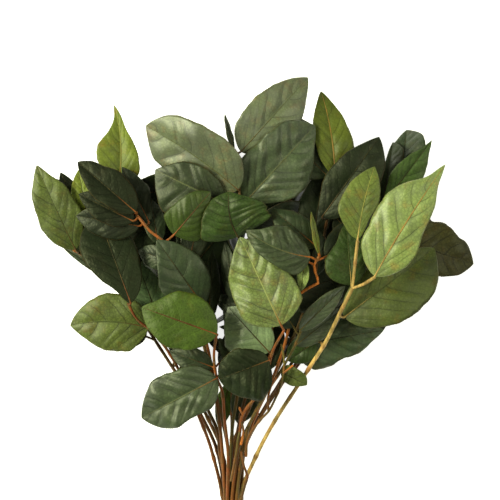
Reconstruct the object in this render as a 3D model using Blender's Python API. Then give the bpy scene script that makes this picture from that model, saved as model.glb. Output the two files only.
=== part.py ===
"""A bundle of preserved salal lying on a table: nineteen leafy sprigs, their bare stems held by a band.

The bundle is laid out on a plan grid, seen from above, with heights in millimetres over the table.
The origin is under the middle of the band, on the table. The stems' cut ends point to -Y, the
foliage to +Y, and the side that is seen faces +Z. Each sprig is one solid: its stem, its twigs and
its leaves grown together. Leaves are listed from the uppermost down, and each one is eased up, down
or round its midrib until it lies clear of the stems and of the leaves above it. The leaves that the
upper ones hide follow a rule: they stand left and right of their stem in turn.
"""

import math
import random
from dataclasses import dataclass

import bmesh
import bpy
import numpy as np
from mathutils import Vector
from mathutils.bvhtree import BVHTree

MM = 0.001

# Plan grid
GRID = 0.00085
GRID_X = 232
GRID_Y = 560

# Stems
STEM_DIAMETER = 3.6 * MM
STEM_END_DIAMETER = 2.2 * MM
TWIG_DIAMETER = 2.0 * MM
STEM_CLEARANCE = 0.3 * MM
STEM_PITCH = STEM_DIAMETER + STEM_CLEARANCE
ROW_PITCH = STEM_PITCH * math.sqrt(3) / 2
CUT_LENGTH = 56 * MM
CUT_STEP = 2.5 * MM
CUT_KINDS = 4

# Where the tied stems start to rise, and where they start to spread
RISE_Y = 22 * MM
RISE_HEIGHT = 1.5 * MM
NECK_Y = 51 * MM
NECK_HEIGHT = 17 * MM
NECK_SPREAD = 1.03
NECK_ROW_PITCH = 3.75 * MM

# Band
BAND_WIDTH = 12 * MM
BAND_THICKNESS = 1.2 * MM
BAND_CORNER_STEPS = 3
BUNDLE_HEIGHT = BAND_THICKNESS + STEM_CLEARANCE + STEM_DIAMETER / 2 + 2 * ROW_PITCH

# Blades
RIM_THICKNESS = 0.7 * MM
RIB_THICKNESS = 1.0 * MM
PETIOLE_WIDTH = 1.9 * MM
PETIOLE_THICKNESS = 1.7 * MM
PETIOLE_LEAST = 3.6 * MM
PETIOLE_SHOULDER = 0.55
ROOT_SINK = 0.8 * MM
ROOT_SIZE = 0.6
FOOT_CLEARANCE = 0.05 * MM
STATIONS = (0.07, 0.25, 0.5, 0.78)
WIDTH_STATIONS = (0.1, 0.3, 0.5, 0.7, 0.9)
LEAST_COSINE = 0.3

# Room kept round blades and stems
GUARD_THICKNESS = 2.4 * MM
GUARD_MARGIN = 0.9 * MM
GUARD_STATIONS = (0.03, 0.12, 0.25, 0.5, 0.78, 0.93)
OUTER_GUARD_STATIONS = GUARD_STATIONS[2:]
SAMPLE_STATIONS = (0.12, 0.3, 0.5, 0.7, 0.88)
STALK_GUARD = 1.9 * MM
STALK_FROM = 0.3
STEM_GUARD = 0.9 * MM
STEM_SAMPLE_STEP = 5 * MM
OWN_STEM_REACH = 14 * MM
TABLE_CLEARANCE = 1.2 * MM
COLUMN = 1.0

# Sides of a blade's ring of six points that lie below
LOWER_SIDES = (3, 4)

# Hidden leaves
HIDDEN_SEED = 7
HIDDEN_LEAST = 60 * MM
HIDDEN_MOST = 88 * MM
HIDDEN_SPACING = 24 * MM
HIDDEN_FROM_Y = 118 * MM
HIDDEN_SLIMNESS = 0.29
HIDDEN_PETIOLE = 8 * MM
HIDDEN_STEP_UP = 1.5 * MM
HIDDEN_SPACING_PLAY = 0.2
HIDDEN_SPREAD = math.radians(55)
HIDDEN_FROM_END = 5 * MM
HIDDEN_TILT = 35
HIDDEN_DROOP = math.radians(-22)

UP = Vector((0, 0, 1))


@dataclass(frozen=True)
class Sprig:
    """A sprig's place in the tied bundle and the route of its stem: grid x, grid y, height in mm."""

    column: float
    row: int
    route: tuple
    twigs: tuple = ()
    hidden: int = 0


@dataclass(frozen=True)
class Leaf:
    """One blade: grid points of base and tip, and half widths left and right of the midrib.

    A half width is the greatest of an ovate outline, or five of them along the blade. They are those
    seen in plan, or those of the blade itself where plan is False.
    """

    sprig: str
    base: tuple
    tip: tuple
    left: object
    right: object
    rise: float = 5
    lift: float = 0
    roll: float = 0
    fold: float = 2
    arch: float = 4
    bow: float = 0
    twist: float = 0
    peak: float = 0.42
    point: float = 0.85
    under: tuple = ()
    foot: bool = False
    plan: bool = True


SPRIGS = {
    "sprig_front_left": Sprig(-1, 2, (
        (228, 451, 44), (224.6, 422, 55), (222, 391, 68), (216.5, 377, 76), (214, 355, 86), (216.5, 335, 95))),
    "sprig_front_middle": Sprig(0, 2, (
        (240, 431, 51), (243, 414, 60), (258, 394, 70), (267, 374, 80), (273, 350, 93), (284, 330, 105))),
    "sprig_right_low": Sprig(1, 2, (
        (247.5, 431, 49), (264, 397, 64), (280, 372, 75), (294, 347, 84), (301, 330, 89)), hidden=1),
    "sprig_left_high": Sprig(-1.5, 1, (
        (222, 451, 37), (219, 420, 46), (211, 365, 60), (202, 326, 68), (190, 290, 76), (172, 254, 82),
        (162, 240, 84), (150, 231, 85), (141, 220, 84), (135, 213, 81), (124, 200, 70), (116, 188, 57)), hidden=4),
    "sprig_crown": Sprig(-0.5, 1, (
        (232, 431, 44), (236, 403, 51), (243, 360, 60), (245, 320, 69), (241, 265, 80), (239, 237, 85),
        (240, 203, 87), (239, 188, 88), (236, 153, 88)), hidden=4),
    "sprig_front_right": Sprig(0.5, 1, (
        (243, 451, 37), (256, 415, 50), (270, 385, 62), (283, 350, 74), (292, 315, 87), (297, 297, 93),
        (310, 287, 97), (318, 283, 99), (315, 272, 102), (314, 265, 104), (319, 256, 106)), hidden=1),
    "sprig_golden": Sprig(1.5, 1, (
        (256, 457, 38), (275, 421, 52), (300.5, 381.5, 70), (311, 365, 77), (326, 341, 88), (340, 312, 101),
        (352, 288, 112)), twigs=(
        ((352, 288), (354.5, 263, 117), (357, 241, 120)),
        ((352, 288), (363, 284, 116), (374, 277, 121)))),
    "sprig_left_low": Sprig(-2, 0, (
        (211, 450, 31), (200, 420, 41), (175, 363, 61), (154, 333, 72), (137, 319, 78), (128, 303, 82))),
    "sprig_far_left": Sprig(-1, 0, (
        (219.5, 451, 31), (217, 431, 35), (208, 411, 39), (196, 385, 44), (184, 361, 48), (150, 320, 52),
        (112, 283, 54), (95, 266, 53), (80, 254, 52)), twigs=(
        ((95, 266), (92, 248, 53), (90, 232, 53)),), hidden=4),
    "sprig_middle": Sprig(0, 0, (
        (233, 445, 31), (244, 420, 41), (255, 396, 52), (264, 375, 60), (270, 354, 67), (272, 325, 73),
        (270, 295, 77)), hidden=5),
    "sprig_right_high": Sprig(1, 0, (
        (238, 451, 30), (252, 420, 38), (270, 385, 46), (290, 345, 56), (308, 300, 66), (320, 255, 72),
        (328, 215, 75), (335, 177, 75)), hidden=5),
    "sprig_right_upper": Sprig(2, 0, (
        (244.5, 451, 27), (259, 420, 35), (280, 387, 42), (308, 347, 49), (340, 300, 56), (362, 260, 61),
        (376, 225, 64), (384, 204, 66), (393, 189, 67)), hidden=5),
    "sprig_far_right": Sprig(1.5, -1, (
        (240, 452, 24), (255, 425, 28), (277, 391, 33), (310, 352, 38), (350, 310, 42), (385, 275, 46),
        (404, 250, 49)), hidden=5),
    "sprig_back_left": Sprig(-1.5, -1, (
        (217, 452, 24), (203, 420, 28), (181, 382, 32), (148, 330, 36), (117, 280, 38), (96, 238, 38),
        (88, 212, 38)), hidden=7),
    "sprig_back_middle": Sprig(-0.5, -1, (
        (228, 452, 24), (222, 420, 30), (212, 380, 38), (200, 330, 44), (188, 280, 48), (175, 230, 50),
        (167, 195, 50)), hidden=8),
    "sprig_back_right": Sprig(0.5, -1, (
        (235, 452, 24), (240, 420, 30), (250, 380, 38), (262, 330, 44), (275, 280, 48), (285, 230, 50),
        (292, 195, 50), (295, 165, 50)), hidden=7),
    "sprig_under_left": Sprig(-1, -2, (
        (222, 453, 18), (208, 420, 18), (185, 375, 19), (160, 325, 20), (140, 275, 19), (128, 225, 16),
        (122, 195, 13)), hidden=6),
    "sprig_under_middle": Sprig(0, -2, (
        (232, 453, 18), (232, 420, 18), (232, 370, 19), (230, 310, 20), (226, 250, 19), (222, 195, 15),
        (222, 165, 13)), hidden=7),
    "sprig_under_right": Sprig(1, -2, (
        (240, 453, 18), (258, 420, 18), (285, 375, 19), (315, 325, 20), (340, 275, 19), (352, 225, 16),
        (357, 195, 13)), hidden=6),
}

# Leaves that show, from the uppermost down
SHOWN = (
    Leaf("sprig_golden", (374, 276), (444, 165), (22, 31, 32, 25, 5), (17, 25, 19, 15, 4), lift=6, roll=-2,
         fold=-5, arch=6, bow=2),
    Leaf("sprig_golden", (357, 239), (374, 167), (12, 23, 23, 18, 8), (5, 9, 14, 13, 6), lift=4, roll=-14,
         fold=2, bow=2),
    Leaf("sprig_front_right", (310, 257), (246, 230), (17, 18, 16, 12, 6), (13, 21, 24, 19, 6), lift=2, roll=8,
         fold=0, arch=7, bow=5),
    Leaf("sprig_front_middle", (281, 325), (240, 237), (24, 32, 32, 26, 11), (25, 31, 29, 21, 9), lift=2,
         fold=-3, arch=3, roll=-6),
    Leaf("sprig_front_left", (217, 334), (142, 307), (15, 25, 29, 24, 13), (18, 28, 30, 24, 8), lift=-2, fold=0),
    Leaf("sprig_front_left", (217, 378), (141.5, 418), (18, 24, 24, 24, 13), (18, 25, 28, 26, 12), lift=-16,
         fold=4, arch=7),
    Leaf("sprig_front_middle", (269, 360), (219, 379), (20, 27, 27, 21, 13), (12, 19, 22, 20, 12), lift=-4,
         roll=-6, fold=-2, arch=6, point=0.6),
    Leaf("sprig_crown", (238, 237), (229, 192), (28, 32, 29, 22, 13), (32, 38, 38, 36, 22), rise=14, lift=6,
         roll=-4, fold=0, arch=6, bow=4),
    Leaf("sprig_left_high", (174, 235), (211, 192), (17, 20, 19, 16, 9), (19, 21, 14, 9, 5), lift=8, roll=-10,
         fold=-8, rise=12),
    Leaf("sprig_crown", (223, 203), (155.5, 170), (20, 31, 35, 33, 16), (14, 22, 23, 20, 8), lift=-2, roll=-6,
         fold=2, arch=6),
    Leaf("sprig_crown", (238, 190), (146, 126), (15, 24, 27, 27, 16), (21, 30, 30, 26, 15), lift=-8, roll=2,
         fold=2, arch=7, bow=-3),
    Leaf("sprig_crown", (243.5, 204), (315, 126), (22, 32, 31, 28, 18), (14, 29, 36, 27, 10), rise=-6, lift=-2,
         roll=2, fold=6, arch=11),
    Leaf("sprig_crown", (241, 152), (308, 77.5), (18, 25, 25, 20, 9), (15, 23, 25, 21, 9), lift=-8, roll=-4,
         fold=2, arch=6),
    Leaf("sprig_crown", (234, 151), (225, 114.5), 3, 3, lift=-2, roll=68, fold=-4, arch=2),
    Leaf("sprig_left_high", (136, 212), (78, 162), (9, 14, 16, 13, 6), (12, 18, 20, 14, 8), rise=11, lift=-6,
         roll=8, fold=6, under=("sprig_left_high",)),
    Leaf("sprig_left_high", (133, 221), (79, 194), 15, 16, rise=2, lift=-2, fold=4, arch=3,
         under=("sprig_left_high",)),
    Leaf("sprig_left_high", (139, 226), (76, 216), 18, 17, rise=-4, lift=-3, fold=4, arch=4, roll=-8,
         under=("sprig_left_high",)),
    Leaf("sprig_left_high", (149, 222), (122, 167), 8, (7, 12, 15, 11, 5), rise=-5.5, lift=-4, roll=8, fold=4,
         under=("sprig_left_high",)),
    Leaf("sprig_left_low", (131, 303), (97, 212), (7, 19, 28, 28, 15), (14, 22, 25, 21, 10), rise=4, lift=-18,
         fold=0, arch=6),
    Leaf("sprig_left_low", (149, 328), (70, 325.5), (21, 29, 29, 24, 11), (16, 26, 28, 23, 10), rise=-6, lift=-8,
         fold=0, bow=-5, roll=-6, under=("sprig_left_low",)),
    Leaf("sprig_far_left", (75, 249), (36.5, 165), (13, 21, 20, 17, 7), (13, 22, 21, 17, 6), lift=4, roll=-6,
         fold=2, arch=5, bow=1),
    Leaf("sprig_left_high", (118, 184), (113.5, 104.5), (14, 24, 23, 10, 2), (16, 18, 13, 6, 3), rise=-2,
         lift=-6, fold=12, arch=3, bow=-5),
    Leaf("sprig_golden", (351, 285), (346, 222), (18, 25, 21, 11, 5), 18, rise=-5, lift=-8, fold=0,
         under=("sprig_golden",)),
    Leaf("sprig_golden", (344, 317), (434, 248), 25, (22, 36, 40, 37, 20), rise=-5, lift=-10, roll=-4, arch=8,
         under=("sprig_golden",)),
    Leaf("sprig_front_right", (319, 254), (311, 212), 3, 3, roll=66, fold=-4, arch=2),
    Leaf("sprig_front_right", (316, 275), (320, 231), 6, 10, rise=-5, lift=-2, roll=20,
         under=("sprig_front_right",)),
    Leaf("sprig_front_right", (304, 262), (301, 291), 6, 6, rise=-6, lift=-3, roll=20),
    Leaf("sprig_front_right", (316, 246), (272, 209), 16, (9, 15, 15, 12, 5), rise=-6, lift=-6, fold=2, arch=5),
    Leaf("sprig_left_high", (203, 305), (157, 240), (14, 24, 25, 17, 7), (14, 24, 25, 21, 10), rise=5, lift=-2,
         fold=2, arch=6),
    Leaf("sprig_right_high", (322, 217), (379, 137), (11, 20, 21, 17, 7), (15, 24, 27, 25, 13), rise=7, lift=2,
         roll=-6, fold=2, arch=6),
    Leaf("sprig_right_high", (335, 175), (321, 91), (10, 16, 17, 14, 6), (14, 21, 18, 13, 5), rise=4, lift=4,
         roll=8, fold=6, arch=5, bow=-3),
    Leaf("sprig_right_upper", (386, 201), (431.5, 140.5), (6, 12, 12, 8, 2), (8, 15, 16, 12, 4), rise=8, lift=4,
         roll=16, fold=8),
    Leaf("sprig_right_upper", (383, 203), (393, 142), (3, 5, 5, 4, 2), (6, 10, 12, 12, 8), rise=-4, lift=-14,
         roll=-26, fold=16),
    Leaf("sprig_right_upper", (400, 187), (407, 129.5), 15, (12, 20, 22, 19, 11), rise=-3, lift=-8, fold=10),
    Leaf("sprig_middle", (269, 352), (228, 307), (16, 26, 29, 23, 11), 20, lift=-2, fold=0, arch=5, roll=-6),
    Leaf("sprig_right_low", (300, 330), (345, 286), 10, 10, rise=3, lift=-4, roll=24, fold=12,
         under=("sprig_golden",)),
    Leaf("sprig_right_low", (296, 345), (344, 308), 10, 12, rise=-5, lift=-8, roll=16, fold=12,
         under=("sprig_golden", "sprig_right_low")),
    Leaf("sprig_golden", (315, 342), (288, 361), 13, 14, rise=-14, lift=-4, roll=-8, fold=10,
         under=("sprig_golden", "sprig_right_low", "sprig_front_right")),
    Leaf("sprig_right_high", (293, 346), (384, 330), 20, (22, 27, 22, 18, 7), rise=5, lift=-4, fold=0, arch=3,
         under=("sprig_golden", "sprig_right_low", "sprig_front_right")),
    Leaf("sprig_right_low", (281, 372), (307, 385), (7, 10, 10, 9, 5), 8, rise=-4, lift=-4, roll=20, fold=8,
         under=("sprig_golden", "sprig_right_low")),
    Leaf("sprig_far_right", (405, 241), (474, 264), (19, 29, 28, 21, 12), (15, 23, 24, 20, 11), lift=-4, roll=-6,
         arch=6),
    Leaf("sprig_far_left", (90, 232), (78, 170), 14, 14, lift=2, roll=-10, fold=6),
    Leaf("sprig_far_left", (91, 236), (60, 172), 13, 13, rise=-4, lift=-4, roll=14, fold=6),
    Leaf("sprig_far_left", (112, 279), (61, 246), 4.5, 9, rise=-8, lift=-4, fold=2,
         under=("sprig_left_low", "sprig_far_left")),
    Leaf("sprig_far_left", (158, 318), (137, 262), 20, 16, rise=6, lift=-2, fold=2,
         under=("sprig_left_low", "sprig_far_left")),
    Leaf("sprig_left_high", (158, 243), (151, 199), 11, 11, rise=-5, lift=-8, roll=16,
         under=("sprig_left_high",)),
    Leaf("sprig_left_high", (172, 261), (138, 251), 13, 11, rise=-4, lift=-8, roll=-10,
         under=("sprig_left_high",)),
    Leaf("sprig_left_high", (189, 262), (204, 196), 14, 14, rise=-4, lift=-4, roll=10,
         under=("sprig_left_high",)),
    Leaf("sprig_left_high", (209, 320), (212, 250), 7, 10, rise=-5, lift=-4, roll=26,
         under=("sprig_left_high",)),
    Leaf("sprig_crown", (235, 303), (225, 241), 9, 8, rise=-6, lift=-2, roll=-26, under=("sprig_crown",)),
    Leaf("sprig_front_left", (213, 367), (170, 351), 13, 12, rise=-6, lift=-6, fold=4,
         under=("sprig_front_left",)),
    Leaf("sprig_right_high", (313, 240), (324, 168), 19, 16, rise=-5, lift=-4, under=("sprig_right_high",)),
    Leaf("sprig_back_right", (250, 384), (238, 425), 15, 14, rise=-6, lift=-8, fold=2, arch=2,
         under=tuple(SPRIGS)),
)

# Low leaves whose tips touch the table
FEET = (
    Leaf("sprig_under_left", (124, 205), (88, 190), 14, 14, rise=4, fold=8, arch=3, foot=True),
    Leaf("sprig_under_right", (355, 205), (396, 190), 14, 14, rise=4, fold=8, arch=3, foot=True),
    Leaf("sprig_under_middle", (223, 176), (207, 133), 14, 14, rise=4, fold=8, arch=3, foot=True),
)

# Outline of the dense middle, where hidden leaves may show between the others, in grid points
CORE = ((72, 235), (100, 180), (150, 180), (165, 140), (232, 134), (300, 135), (350, 165), (395, 165),
        (425, 195), (418, 240), (428, 280), (395, 315), (335, 350), (292, 352), (262, 385), (228, 385),
        (212, 345), (160, 335), (95, 300), (85, 268))
# Small gaps that stay open to the table
GAPS = ((218, 315), (221, 324), (214, 307), (236, 154))


def place(x, y, height=0.0):
    """A plan grid point and a height in millimetres as a point in metres."""
    return Vector(((x - GRID_X) * GRID, (GRID_Y - y) * GRID, height * MM))


def tied_route(sprig, index):
    """The stem's whole route: cut end, band, rise, neck, and then the sprig's own points."""
    x = sprig.column * STEM_PITCH
    z = BUNDLE_HEIGHT + sprig.row * ROW_PITCH
    cut = CUT_LENGTH + (index % CUT_KINDS) * CUT_STEP
    route = [Vector((x, -cut, z)), Vector((x, 0, z)), Vector((x, RISE_Y, z + RISE_HEIGHT))]
    route.append(Vector((x * NECK_SPREAD, NECK_Y, NECK_HEIGHT + sprig.row * NECK_ROW_PITCH)))
    return route + [place(*point) for point in sprig.route]


def sprig_routes(sprig, index):
    """The routes of a sprig's stem and of its twigs."""
    main = tied_route(sprig, index)
    routes = [main]
    for twig in sprig.twigs:
        start = nearest_in_plan([main], place(*twig[0]))
        routes.append([start] + [place(*point) for point in twig[1:]])
    return routes


def nearest_in_plan(routes, target):
    """The point of the routes that lies nearest to the target in plan."""
    best = None
    for route in routes:
        for start, end in zip(route, route[1:]):
            run = (end - start).xy
            share = (target.xy - start.xy).dot(run) / max(run.length_squared, 1e-12)
            point = start.lerp(end, min(max(share, 0.0), 1.0))
            gap = (point.xy - target.xy).length
            if best is None or gap < best[0]:
                best = (gap, point)
    return best[1]


def ovate(share, peak, point):
    """Half width of an ovate blade along its length, as a share of its greatest."""
    swell = point * peak / (1 - peak)
    most = peak ** swell * (1 - peak) ** point
    return share ** swell * (1 - share) ** point / most


def smooth_swell(share, swells):
    """A smooth curve through the values at the width stations, level beyond the first and the last."""
    last = len(WIDTH_STATIONS) - 1
    k = min(max(sum(share >= station for station in WIDTH_STATIONS) - 1, 0), last - 1)
    start = WIDTH_STATIONS[k]
    gap = WIDTH_STATIONS[k + 1] - start
    slopes = []
    for j in (k, k + 1):
        inner = 0 < j < last
        slopes.append((swells[j + 1] - swells[j - 1]) / (2 * gap) if inner else 0.0)
    t = min(max((share - start) / gap, 0.0), 1.0)
    return (swells[k] * (2 * t ** 3 - 3 * t ** 2 + 1) + swells[k + 1] * (3 * t ** 2 - 2 * t ** 3)
            + slopes[0] * gap * (t ** 3 - 2 * t ** 2 + t) + slopes[1] * gap * (t ** 3 - t ** 2))


def half_width(half, share, peak, point):
    """Half width of a blade at a share of its length: that of an ovate outline, or one through five widths."""
    if isinstance(half, tuple):
        half = smooth_swell(share, [width / ovate(station, peak, point)
                                    for width, station in zip(half, WIDTH_STATIONS)])
    return half * ovate(share, peak, point)


class Blade:
    """The surface of one leaf between its base and its tip."""

    def __init__(self, leaf, root, base, tip, roll):
        self.root = root
        self.base = base
        chord = tip - base
        self.length = chord.length
        self.along = chord.normalized()
        self.flat_left = UP.cross(self.along).normalized()
        self.up = self.along.cross(self.flat_left)
        self.roll = math.radians(roll)
        self.fold = math.radians(leaf.fold)
        self.twist = math.radians(leaf.twist)
        self.arch = leaf.arch * MM
        self.bow = leaf.bow * GRID
        self.peak = leaf.peak
        self.point = leaf.point
        self.left = leaf.left
        self.right = leaf.right
        self.left_scale = GRID
        self.right_scale = GRID
        if leaf.plan:
            self.left_scale /= max(math.cos(self.roll + self.fold), LEAST_COSINE)
            self.right_scale /= max(math.cos(self.fold - self.roll), LEAST_COSINE)

    def frame(self, share):
        """Midrib point, its direction, the blade's left side and its upper normal at a share of the length."""
        hump = 4 * share * (1 - share)
        slope = 4 * (1 - 2 * share)
        middle = self.base + self.along * self.length * share
        middle += self.flat_left * self.bow * hump + self.up * self.arch * hump
        ahead = self.along * self.length + self.flat_left * self.bow * slope + self.up * self.arch * slope
        ahead.normalize()
        turn = self.roll + self.twist * (share - 0.5)
        side = self.flat_left * math.cos(turn) + self.up * math.sin(turn)
        side = (side - ahead * side.dot(ahead)).normalized()
        return middle, ahead, side, ahead.cross(side)

    def ring(self, share, rim, rib, margin=0.0):
        """Six points round the blade at a share of its length: left, rib and right, above and below."""
        middle, ahead, side, normal = self.frame(share)
        left = half_width(self.left, share, self.peak, self.point) * self.left_scale + margin
        right = half_width(self.right, share, self.peak, self.point) * self.right_scale + margin
        ring = []
        for reach, way, thickness in ((left, 1, rim), (0.0, 0, rib), (right, -1, rim)):
            point = middle + side * (way * reach * math.cos(self.fold)) + normal * (reach * math.sin(self.fold))
            ring.append((point, normal * (thickness / 2)))
        return [p + n for p, n in ring] + [p - n for p, n in reversed(ring)]

    def petiole_ring(self, centre, ahead, size=1.0):
        """Six points round the leaf stalk."""
        side = (self.flat_left - ahead * self.flat_left.dot(ahead)).normalized()
        normal = ahead.cross(side)
        half_width = side * (PETIOLE_WIDTH / 2 * size)
        half_height = normal * (PETIOLE_THICKNESS / 2 * size)
        low = half_height * PETIOLE_SHOULDER
        return [centre + half_width + low, centre + half_height, centre - half_width + low,
                centre - half_width - low, centre - half_height, centre + half_width - low]

    def rings(self):
        """All rings of the solid leaf, from inside the stem to just before the tip."""
        start = (self.base - self.root).normalized()
        rings = [self.petiole_ring(self.root - start * ROOT_SINK, start, ROOT_SIZE)]
        rings.append(self.petiole_ring(self.base, (start + self.along).normalized()))
        rings += [self.ring(share, RIM_THICKNESS, RIB_THICKNESS) for share in STATIONS]
        return rings

    def tips(self, thickness):
        """The two points that close the tip."""
        middle, ahead, side, normal = self.frame(1.0)
        return [middle + normal * (thickness / 2), middle - normal * (thickness / 2)]

    def guard(self, stations):
        """A thicker and slightly wider blade, which keeps the leaf clear of its neighbours."""
        rings = [self.ring(share, GUARD_THICKNESS, GUARD_THICKNESS, GUARD_MARGIN) for share in stations]
        points = [point for ring in rings for point in ring]
        points += [tip + self.along * GUARD_MARGIN for tip in self.tips(GUARD_THICKNESS)]
        return Shape(points, ring_faces(len(rings)) + tip_faces(len(rings)))

    def stalk_guard(self):
        """A thicker leaf stalk, without its end at the stem."""
        return Shape(*tube_shape([self.root.lerp(self.base, STALK_FROM), self.base], STALK_GUARD))

    def samples(self):
        """Points spread over the blade, out to its rim."""
        points = []
        for share in SAMPLE_STATIONS:
            ring = self.ring(share, RIM_THICKNESS, RIB_THICKNESS)
            points += [ring[0], ring[1], ring[2], (ring[0] + ring[1]) / 2, (ring[1] + ring[2]) / 2]
        return points + [self.frame(1.0)[0]]


def ring_faces(count, sides=6):
    """Faces between rings of six points, split alike above and below."""
    faces = []
    for k in range(count - 1):
        a = k * sides
        b = a + sides
        for j in range(sides):
            n = (j + 1) % sides
            if j in LOWER_SIDES:
                faces += [(a + j, a + n, b + j), (a + n, b + n, b + j)]
            else:
                faces += [(a + j, a + n, b + n), (a + j, b + n, b + j)]
    return faces


def start_faces():
    """The closed root end of a leaf."""
    return [(5, 1, 0), (5, 4, 1), (4, 2, 1), (4, 3, 2)]


def tip_faces(count, sides=6):
    """The pointed end of a leaf: its last ring runs into an upper and a lower point."""
    a = (count - 1) * sides
    top = count * sides
    low = top + 1
    return [(a, a + 1, top), (a + 1, a + 2, top), (a + 3, a + 4, low), (a + 4, a + 5, low),
            (a + 2, a + 3, low), (a + 2, low, top), (a + 5, a, top), (a + 5, top, low)]


class Shape:
    """A mesh that others can be tested against."""

    def __init__(self, points, faces):
        self.tree = BVHTree.FromPolygons(points, faces)
        cloud = np.array(points)
        self.low = cloud.min(0)
        self.high = cloud.max(0)


class Thicket:
    """The stems and leaves that already have their place."""

    def __init__(self):
        self.shapes = []
        self.owners = []
        self.kinds = []
        self.stem_owners = []
        self.stem_points = []

    def add(self, shape, owner, kind):
        """Keep one shape."""
        self.shapes.append(shape)
        self.owners.append(owner)
        self.kinds.append(kind)

    def add_stem(self, route, radius, owner):
        """Keep a stem or twig, and points along it."""
        self.add(Shape(*tube_shape(route, radius)), owner, "stem")
        for start, end in zip(route, route[1:]):
            steps = max(int((end - start).length / STEM_SAMPLE_STEP), 1)
            self.stem_owners += [owner] * steps
            self.stem_points += [start.lerp(end, step / steps) for step in range(steps)]

    def near(self, shape, room=(0.0, 0.0, 0.0)):
        """Numbers of the kept shapes whose boxes meet the shape's own, or come within some room of it."""
        lows = np.array([kept.low for kept in self.shapes])
        highs = np.array([kept.high for kept in self.shapes])
        apart = (lows > shape.high + room).any(1) | (highs < shape.low - room).any(1)
        return np.flatnonzero(~apart)

    def shown_over_or_under(self, shape):
        """The shown leaves that lie somewhere in the column over and under the shape."""
        return [self.shapes[k] for k in self.near(shape, (0.0, 0.0, COLUMN)) if self.kinds[k] == "shown"]

    def stems_in_plan(self, shape):
        """Owners and points of the stems within the shape's box in plan."""
        cloud = np.array(self.stem_points)[:, :2]
        within = ((cloud > shape.low[:2]) & (cloud < shape.high[:2])).all(1)
        return [(self.stem_owners[k], self.stem_points[k]) for k in np.flatnonzero(within)]


def tube_shape(route, radius, sides=6):
    """Points and faces of a plain tube round a route."""
    points = []
    for k, centre in enumerate(route):
        ahead = (route[min(k + 1, len(route) - 1)] - route[max(k - 1, 0)]).normalized()
        side = ahead.orthogonal().normalized()
        normal = side.cross(ahead)
        for j in range(sides):
            turn = 2 * math.pi * j / sides
            points.append(centre + side * (radius * math.cos(turn)) + normal * (radius * math.sin(turn)))
    faces = [(k * sides + j, k * sides + (j + 1) % sides, (k + 1) * sides + (j + 1) % sides, (k + 1) * sides + j)
             for k in range(len(route) - 1) for j in range(sides)]
    return points, faces


def inside(x, y, outline):
    """True where a plan point lies inside an outline."""
    hit = False
    for (x0, y0), (x1, y1) in zip(outline, outline[1:] + outline[:1]):
        if (y0 > y) != (y1 > y) and x < x0 + (y - y0) / (y1 - y0) * (x1 - x0):
            hit = not hit
    return hit


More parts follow.
